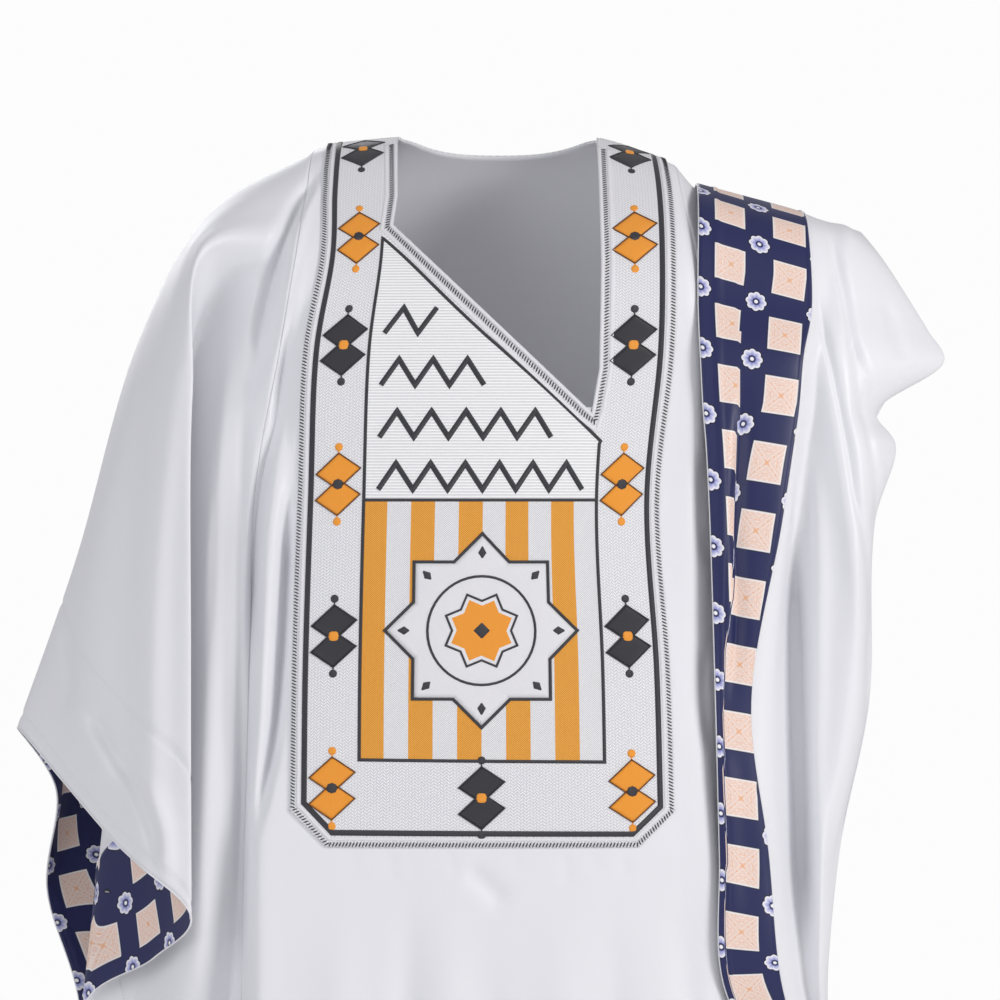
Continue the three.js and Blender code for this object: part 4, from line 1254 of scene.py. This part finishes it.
class Stitching:
    """Raised stitching of one thread, gathered into one mesh."""

    BASE = -0.3  # a pad's underside, from the bib's face
    ACROSS = np.array([-0.5, -0.36, 0, 0.36, 0.5])  # of a line, in its width
    CROWN = np.array([0.15, 0.85, 1, 0.85, 0.15])  # and its height at each of these

    def __init__(self, panel):
        self.panel, self.points, self.faces, self.uvs, self.count = panel, [], [], [], 0

    def slab(self, grid, heights, uv, closed=False):
        """A closed pad over a grid of places."""
        rows, columns = grid.shape[:2]
        top = self.panel.at(grid, heights).reshape(-1, 3)
        bottom = self.panel.at(grid, np.full(heights.shape, self.BASE)).reshape(-1, 3)
        size = rows * columns
        index = np.arange(size).reshape(rows, columns)
        if closed:
            index = np.concatenate([index, index[:1]])
        quads = [index[:-1, :-1], index[:-1, 1:], index[1:, 1:], index[1:, :-1]]
        quads = np.stack(quads, axis=-1).reshape(-1, 4)
        first, second = self.panel.at(grid[:2, 0]), self.panel.at(grid[0, 1])
        facing = np.cross(second - first[0], first[1] - first[0]) @ self.panel.out(grid[0, 0])
        if facing < 0:
            quads = quads[:, ::-1]
        sides = np.stack([quads, np.roll(quads, -1, axis=1)], axis=-1).reshape(-1, 2)
        alone = ~np.isin(sides[:, 1] * size + sides[:, 0], sides[:, 0] * size + sides[:, 1])
        rim = sides[alone]
        rims = np.stack([rim[:, 1], rim[:, 0], rim[:, 0] + size, rim[:, 1] + size], axis=-1)
        faces = np.concatenate([quads, quads[:, ::-1] + size, rims])
        flat = uv.reshape(-1, 2)
        self.points += [top, bottom]
        self.faces.append(faces + self.count)
        self.uvs.append(flat[faces % size].reshape(-1, 2))
        self.count += 2 * size

    def line(self, path, width, rise, closed=False, step=1.8):
        """A line of satin stitch along a path of places."""
        path = stepped(path, step, closed)
        side = sideways(path, closed)
        grid = path[:, None] + side[:, None] * self.ACROSS[:, None] * width
        ran = np.concatenate([[0], np.cumsum(np.linalg.norm(np.diff(path, axis=0), axis=1))])
        uv = np.stack(np.broadcast_arrays(ran[:, None], (self.ACROSS * width)[None, :]), axis=-1)
        self.slab(grid, np.broadcast_to(self.CROWN * rise, grid.shape[:2]), uv, closed)

    def patch(self, shape, rise, count, turn=0.0):
        """A pad whose outline is that of shape, a function of two numbers from -1 to 1. It has count
        points each way, and its thread lies at a turn."""
        s, t = np.meshgrid(np.linspace(-1, 1, count), np.linspace(-1, 1, count), indexing="ij")
        grid = shape(s, t)
        heights = rise * (1 - np.maximum(np.abs(s), np.abs(t)) ** 6 * 0.8)
        cos, sin = math.cos(turn), math.sin(turn)
        u, v = grid[..., 0], grid[..., 1]
        uv = np.stack([u * cos + v * sin, v * cos - u * sin], axis=-1)
        self.slab(grid, heights, uv)

    def quad(self, corners, rise, count, turn=0.0):
        a, b, c, d = (np.array(corner, float) for corner in corners)

        def shape(s, t):
            s, t = (s[..., None] + 1) / 2, (t[..., None] + 1) / 2
            return a * (1 - s) * (1 - t) + b * s * (1 - t) + c * s * t + d * (1 - s) * t

        self.patch(shape, rise, count, turn)

    def disc(self, centre, radius, rise, count):
        def shape(s, t):
            x, y = s * np.sqrt(1 - t * t / 2), t * np.sqrt(1 - s * s / 2)
            return np.array(centre, float) + np.stack([x, y], axis=-1) * radius

        self.patch(shape, rise, count)

    def finish(self, name, material):
        parts = (np.concatenate(part) for part in (self.points, self.faces, self.uvs))
        return finish_piece(new_object(name, *parts), material)


def stitch_tree():
    """Lays one small stitch at each point of a mesh, turned by the point's own turn."""
    tree = bpy.data.node_groups.new("stitches", "GeometryNodeTree")
    tree.is_modifier = True

    def take(label, kind):
        return tree.interface.new_socket(label, in_out="INPUT", socket_type=kind).identifier

    take("Points", "NodeSocketGeometry")
    sockets = {label: take(label, "NodeSocketFloat") for label in ("Length", "Width", "Height")}
    sockets["Thread"] = take("Thread", "NodeSocketMaterial")
    tree.interface.new_socket("Stitches", in_out="OUTPUT", socket_type="NodeSocketGeometry")
    n = Nodes(tree)
    given, out = n.node("NodeGroupInput").outputs, n.node("NodeGroupOutput").inputs
    ball = n.node("GeometryNodeMeshUVSphere")
    ball.inputs["Segments"].default_value, ball.inputs["Rings"].default_value = 6, 4
    ball.inputs["Radius"].default_value = 0.5
    size = n.node("ShaderNodeCombineXYZ")
    for index, label in enumerate(("Length", "Width", "Height")):
        n.put(size.inputs[index], given[label])
    shaped = n.node("GeometryNodeTransform")
    n.put(shaped.inputs["Geometry"], ball.outputs["Mesh"])
    n.put(shaped.inputs["Scale"], size.outputs[0])
    smooth = n.node("GeometryNodeSetShadeSmooth")
    n.put(smooth.inputs[0], shaped.outputs[0])
    turn = n.node("GeometryNodeInputNamedAttribute", data_type="FLOAT_VECTOR")
    turn.inputs["Name"].default_value = "turn"
    to_rotation = n.node("FunctionNodeEulerToRotation")
    n.put(to_rotation.inputs[0], turn.outputs["Attribute"])
    lay = n.node("GeometryNodeInstanceOnPoints")
    n.put(lay.inputs["Points"], given["Points"])
    n.put(lay.inputs["Instance"], smooth.outputs[0])
    n.put(lay.inputs["Rotation"], to_rotation.outputs[0])
    real = n.node("GeometryNodeRealizeInstances")
    n.put(real.inputs[0], lay.outputs[0])
    coloured = n.node("GeometryNodeSetMaterial")
    n.put(coloured.inputs["Geometry"], real.outputs[0])
    n.put(coloured.inputs["Material"], given["Thread"])
    n.put(out[0], coloured.outputs[0])
    return tree, sockets


STITCHES, STITCH_SOCKETS = stitch_tree()


def sewn(name, points, along, out, size, thread):
    """Small stitches at points, each lying along a direction with its back to the cloth."""
    mesh = bpy.data.meshes.new(name + "_points")
    mesh.from_pydata((points * MM).tolist(), [], [])
    turns = []
    for x, z in zip(along, out):
        x = x - z * (x @ z)
        x, z = x / np.linalg.norm(x), z / np.linalg.norm(z)
        y = np.cross(z, x)
        turns += list(Matrix(np.stack([x, y, z], axis=1).tolist()).to_euler())
    mesh.attributes.new("turn", "FLOAT_VECTOR", "POINT").data.foreach_set("vector", turns)
    holder = bpy.data.objects.new(name + "_points", mesh)
    bpy.context.scene.collection.objects.link(holder)
    modifier = holder.modifiers.new("stitches", "NODES")
    modifier.node_group = STITCHES
    for label, value in zip(("Length", "Width", "Height"), size):
        modifier[STITCH_SOCKETS[label]] = value * MM
    modifier[STITCH_SOCKETS["Thread"]] = thread
    holder.update_tag()
    graph = bpy.context.evaluated_depsgraph_get()
    made = bpy.data.objects.new(name, bpy.data.meshes.new_from_object(holder.evaluated_get(graph)))
    made.data.name = name
    bpy.context.scene.collection.objects.link(made)
    bpy.data.objects.remove(holder)
    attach(made, "root")
    return made


# ---------------------------------------------------------------------------------------------
# The robe
satin = satin_material()
print_cloth = printed_material()
# The second colour of each thread is painted shade, used in the grooves between its threads.
black_thread = thread_material("black thread", "34343a", "141418", 0.42)
orange_thread = thread_material("orange thread", "ffa531", "c96f12", 0.5)
white_thread = thread_material("white thread", "f4f3f6", "bdbcc6", 0.55)
dark_outline = thread_material("brown thread", "6a3c12", "3a2008", 0.6)


def finish_piece(piece, material, node=None):
    piece.data.materials.append(material)
    if node:
        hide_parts(node)
    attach(piece, "root")
    return piece


front = front_layer(FRONT_DOWN, FRONT_ACROSS)
front_stays = trim(front, NECK_EDGE)
front_piece = finish_piece(shell("front_cloth", front, SATIN, keep=front_stays), satin, "front")

back = back_layer()
back_piece = finish_piece(shell("back_cloth", back, SATIN), satin, "back")


def sink(layer, rows):
    """Draws a layer in along its rows of stitches."""
    for row in rows:
        layer.points[row] -= layer.normals[row] * STITCH_SUNK
    layer.face_out()


hanging = hanging_layer()
sink(hanging, HANGING_STITCHED)
right_sleeve = finish_piece(shell("right_sleeve_cloth", hanging, SATIN), satin, "sleeve_right")

folded = folded_layer()
sink(folded, FOLDED_STITCHED)
left_sleeve = finish_piece(shell("left_sleeve_cloth", folded, SATIN), satin, "sleeve_left")

facing_lift = -(SATIN / 2 + CLEAR + LINING / 2)
right_lining = hanging.crop(slice(-HANGING_FACING - 1, None))
left_lining = folded.crop(slice(-FOLDED_ALONG[-1] - 1, None))


def mouth_uv(layer, start, pleat=None):
    """In from the mouth, square to its edge, and round it. Past a pleat, the cloth hidden in it is
    left out."""
    wide = np.concatenate([layer.points, layer.points[:, :1]], axis=1)
    rim = wide[-1]
    edge = np.roll(rim, -RIM_REACH, axis=0) - np.roll(rim, RIM_REACH, axis=0)
    edge /= np.linalg.norm(edge, axis=-1, keepdims=True)
    along = np.sum((wide - rim) * edge, axis=-1)
    round_mouth = lengths(wide[-1:], 1) + along - start
    ran = lengths(wide, 0)
    within = np.sqrt(np.maximum((ran[-1:] - ran) ** 2 - along ** 2, 0))
    if pleat:
        heights, starts, hidden = np.array(pleat, float).T
        level = wide[-1:, :, 2]
        past = within > np.interp(level, heights, starts)
        within = within + np.where(past, np.interp(level, heights, hidden), 0)
    return np.stack([within, round_mouth], axis=-1)


right_facing = finish_piece(
    shell("right_facing_cloth", right_lining, LINING, facing_lift,
          uv=mouth_uv(right_lining, RIGHT_PRINT_START)),
    print_cloth, "facing_right")
left_facing = finish_piece(
    shell("left_facing_cloth", left_lining, LINING, facing_lift,
          uv=mouth_uv(left_lining, LEFT_PRINT_START, PLEAT)),
    print_cloth, "facing_left")


def cord(name, path, out):
    """Piping: a thin round cord of satin along a closed path of points. out is square to the path."""
    along = np.roll(path, -1, axis=0) - np.roll(path, 1, axis=0)
    along /= np.linalg.norm(along, axis=1, keepdims=True)
    first = out - along * np.sum(out * along, axis=1, keepdims=True)
    first /= np.linalg.norm(first, axis=1, keepdims=True)
    second = np.cross(along, first)
    angles = np.arange(PIPING_SIDES) * 2 * math.pi / PIPING_SIDES
    ring = first[:, None] * np.cos(angles)[:, None] + second[:, None] * np.sin(angles)[:, None]
    index = np.arange(len(path) * PIPING_SIDES).reshape(len(path), PIPING_SIDES)
    beside, ahead = np.roll(index, -1, axis=1), np.roll(index, -1, axis=0)
    faces = np.stack([index, beside, np.roll(ahead, -1, axis=1), ahead], axis=-1).reshape(-1, 4)
    points = (path[:, None] + ring * PIPING).reshape(-1, 3)
    flat = np.meshgrid(np.arange(len(path)) * 2.0, angles * PIPING, indexing="ij")
    flat = np.stack(flat, axis=-1).reshape(-1, 2)
    return finish_piece(new_object(name, points, faces, flat[faces].reshape(-1, 2)), satin)


for side, layer, lining in (("right", hanging, right_lining), ("left", folded, left_lining)):
    cord(side + "_mouth_piping", layer.points[-1], layer.normals[-1])
    edge = lining.points[0] + lining.normals[0] * (facing_lift - LINING / 2)
    cord(side + "_facing_piping", edge, lining.normals[0])


def row_of_stitches(layer, row):
    """Places and directions of stitches along a row of a layer, and the way out of the cloth there."""
    points, normals = layer.points[row], layer.normals[row]
    if layer.closed:
        points, normals = np.concatenate([points, points[:1]]), np.concatenate([normals, normals[:1]])
    ran = lengths(points[None], 1)[0]
    even = np.arange(STITCH_PITCH / 2, ran[-1], STITCH_PITCH)
    at, ahead, out = (np.stack([np.interp(even + more, ran, values[:, k]) for k in range(3)], axis=-1)
                      for more, values in ((0, points), (0.5, points), (0, normals)))
    return at + out * (SATIN / 2), ahead - at, out


rows = [row_of_stitches(layer, row)
        for layer, stitched in ((hanging, HANGING_STITCHED), (folded, FOLDED_STITCHED), (front, HEM_STITCHED),
                                (back, HEM_STITCHED))
        for row in stitched]
spots, directions, outward = (np.concatenate(part) for part in zip(*rows))
seam_stitches = sewn("seam_stitches", spots, directions, outward, STITCH, white_thread)

panel_lift = SATIN / 2 + CLEAR + PANEL / 2
bib = front_layer(BIB_DOWN, BIB_ACROSS, BIB_LINES[0])
panel = Panel(bib, panel_lift + PANEL / 2)
slant_ends = panel.find(SLANT_ENDS)
divider, foot = panel.find([(BIB_MIDDLE, DIVIDER), (BIB_MIDDLE, FOOT)])[:, 1]
bib_cloth = ground_material("embroidered panel", (PANEL_SIDE, divider, foot, *slant_ends))
bib_uv = panel.uv()
bib_stays = trim(bib, NECK_EDGE)
for outline in corner_outlines(bib):
    bib_stays &= trim(bib, outline)
bib_piece = finish_piece(shell("bib_cloth", bib, PANEL, panel_lift, keep=bib_stays, uv=bib_uv),
                         bib_cloth, "bib")

band_columns = slice(BACK_ACROSS[0], len(back.points[0]) - BACK_ACROSS[-1])
band = back.crop(slice(0, BAND_ROWS + 1), band_columns)
band_piece = finish_piece(shell("neck_band_cloth", band, PANEL, panel_lift), ground_material("neck band"),
                          "neck_band")

black, orange, white, brown = (Stitching(panel) for _ in range(4))


def bib_outline(inset):
    """The bib's sides, corners and lower edge, set in from them."""
    side, end = BIB_HALF - inset, panel.length - inset
    corner = BIB_CORNER - inset * (2 - math.sqrt(2))
    return [(-side, BORDER_STARTS), (-side, end - corner), (-side + corner, end), (side - corner, end),
            (side, end - corner), (side, BORDER_STARTS)]


for thread, (inset, width, rise) in ((black, BLACK_BORDER), (white, WHITE_BORDER)):
    thread.line(bib_outline(inset), width, rise)

# The central panel's outline, from the slanting neck edge down.
(x0, v0), (x1, v1) = slant_ends
black.line([(-PANEL_SIDE, foot), (-PANEL_SIDE, v0), (x1, v1), (PANEL_SIDE, v1 + 2), (PANEL_SIDE, foot)],
           *PANEL_LINE, closed=True)
black.line([(-PANEL_SIDE, divider), (PANEL_SIDE, divider)], *DIVIDER_LINE)


def lozenges(u, v, fill, dot, outline):
    """Two overlapping lozenges, one below the other, with a dot at each end and one in the middle."""
    for middle in (-LOZENGE_APART / 2, LOZENGE_APART / 2):
        corners = [(u - LOZENGE_WIDE, v + middle + LOZENGE_SLANT), (u, v + middle - LOZENGE_HIGH),
                   (u + LOZENGE_WIDE, v + middle - LOZENGE_SLANT), (u, v + middle + LOZENGE_HIGH)]
        corners = [(x, max(y, LOZENGES_START)) for x, y in corners]
        fill.quad(corners, 0.75 if middle < 0 else 0.85, count=11, turn=0.9)
        outline.line(corners, *LOZENGE_LINE, closed=True, step=3)
        end = v + math.copysign(LOZENGE_APART / 2 + LOZENGE_HIGH + END_DOT_OUT, middle)
        if end > END_DOT_LEAST:
            fill.disc((u, end), *END_DOT)
            fill.line([(u, end), (u, end - math.copysign(TAIL, middle))], *TAIL_LINE)
    dot.disc((u, v), *MIDDLE_DOT)


for index, height in enumerate(LOZENGES_DOWN):
    v = LOZENGE_TOP if height is None else panel.find([(BIB_MIDDLE, height)])[0, 1]
    for side in (-1, 1):
        fill, dot = (black, orange) if index % 2 == 0 else (orange, black)
        lozenges(side * LOZENGE_SIDE, v, fill, dot, brown if fill is orange else black)
lozenges(0, panel.find([(BIB_MIDDLE, LOWEST_LOZENGES)])[0, 1], black, orange, black)

# The upper field: rows of zigzag under the slanting edge.
for height in ZIGZAG_ROWS:
    middle = panel.find([(BIB_MIDDLE, height)])[0, 1]
    slant_at = x0 + (middle - ZIGZAG_HIGH - v0) * (x1 - x0) / (v1 - v0)
    end = min(slant_at - ZIGZAG_CLEAR, PANEL_SIDE - ZIGZAG_END)
    start = -PANEL_SIDE + ZIGZAG_START
    count = int((end - start) / ZIGZAG_STEP)
    path = [(start + i * ZIGZAG_STEP, middle + (ZIGZAG_HIGH if i % 2 == 0 else -ZIGZAG_HIGH))
            for i in range(count + 1)]
    if count > 0:
        black.line(path, *ZIGZAG_LINE)

# The lower field: an eight-pointed star on upright bands.
centre = np.array([0, (divider + foot) / 2])


def ring_of(radius, count, turn):
    angles = math.radians(turn) + np.arange(count) * 2 * math.pi / count
    return centre + radius * np.stack([np.cos(angles), np.sin(angles)], axis=-1)


def eight_points(radius, turn=0):
    tips, dips = ring_of(radius, 8, turn), ring_of(radius * STAR_NOTCH, 8, turn + 22.5)
    return np.stack([tips, dips], axis=1).reshape(-1, 2)


for rise, turn in ((0.35, 0), (0.42, 45)):
    white.quad(ring_of(STAR, 4, turn), rise, count=21, turn=turn)
black.line(eight_points(STAR), *STAR_LINE, closed=True)
white.disc(centre, STAR_DISC, 0.62, count=21)
black.line(ring_of(STAR_DISC, 48, 0), *RING_LINE, closed=True, step=4)
for tip in ring_of(STAR_TIPS, 8, 0):
    outward = (tip - centre) / np.linalg.norm(tip - centre)
    cross = np.array([-outward[1], outward[0]])
    black.quad([tip - outward * 5, tip + cross * 3.4, tip + outward * 6, tip - cross * 3.4], 0.9, count=7)
for rise, turn in ((0.85, 22.5), (0.9, 67.5)):
    orange.quad(ring_of(STAR_HEART, 4, turn), rise, count=13, turn=0.5)
black.line(eight_points(STAR_HEART, 22.5), *HEART_LINE, closed=True)
black.quad(ring_of(STAR_EYE, 4, 0), 1.4, count=7)

# The neck edge: a white cord, then whip stitches, then a flat white band.
neck_seen = stepped([(-81.5, 2), *NECK_EDGE[1:-1], (77, -1)], 3)
neck_path = panel.find(neck_seen)
neck_in = sideways(neck_path)
for inset, width, rise in (NECK_CORD, NECK_LINE):
    white.line(neck_path + neck_in * inset, width, rise, step=3)

black_piece = black.finish("bib_black_stitching", black_thread)
orange_piece = orange.finish("bib_orange_stitching", orange_thread)
white_piece = white.finish("bib_white_stitching", white_thread)
brown_piece = brown.finish("bib_brown_outlines", dark_outline)


def whip_stitches(path, inward):
    """Places of the whip stitches along an edge of the bib, and how each one slants."""
    path = stepped(path, TICK_PITCH)
    ran = np.concatenate([[0], np.cumsum(np.linalg.norm(np.diff(path, axis=0), axis=1))])
    even = np.arange(0, ran[-1], TICK_PITCH)
    spots = np.stack([np.interp(even, ran, path[:, k]) for k in (0, 1)], axis=-1)
    ahead = np.stack([np.interp(even + 0.5, ran, path[:, k]) for k in (0, 1)], axis=-1)
    behind = np.stack([np.interp(even - 0.5, ran, path[:, k]) for k in (0, 1)], axis=-1)
    forward = ahead - behind
    forward /= np.linalg.norm(forward, axis=1, keepdims=True)
    side = np.stack([-forward[:, 1], forward[:, 0]], axis=-1) * inward
    return spots, side + forward * TICK_SLANT


spots, slant = whip_stitches(bib_outline(TICK_IN), -1)
neck_spots, neck_slant = whip_stitches(neck_path + neck_in * NECK_TICK_IN, 1)
spots, slant = np.concatenate([spots, neck_spots]), np.concatenate([slant, neck_slant])
points = panel.at(spots, TICK_LIFT)
directions = panel.at(spots + slant * 0.5, TICK_LIFT) - points
ticks = sewn("whip_stitches", points, directions, panel.out(spots), TICK, black_thread)
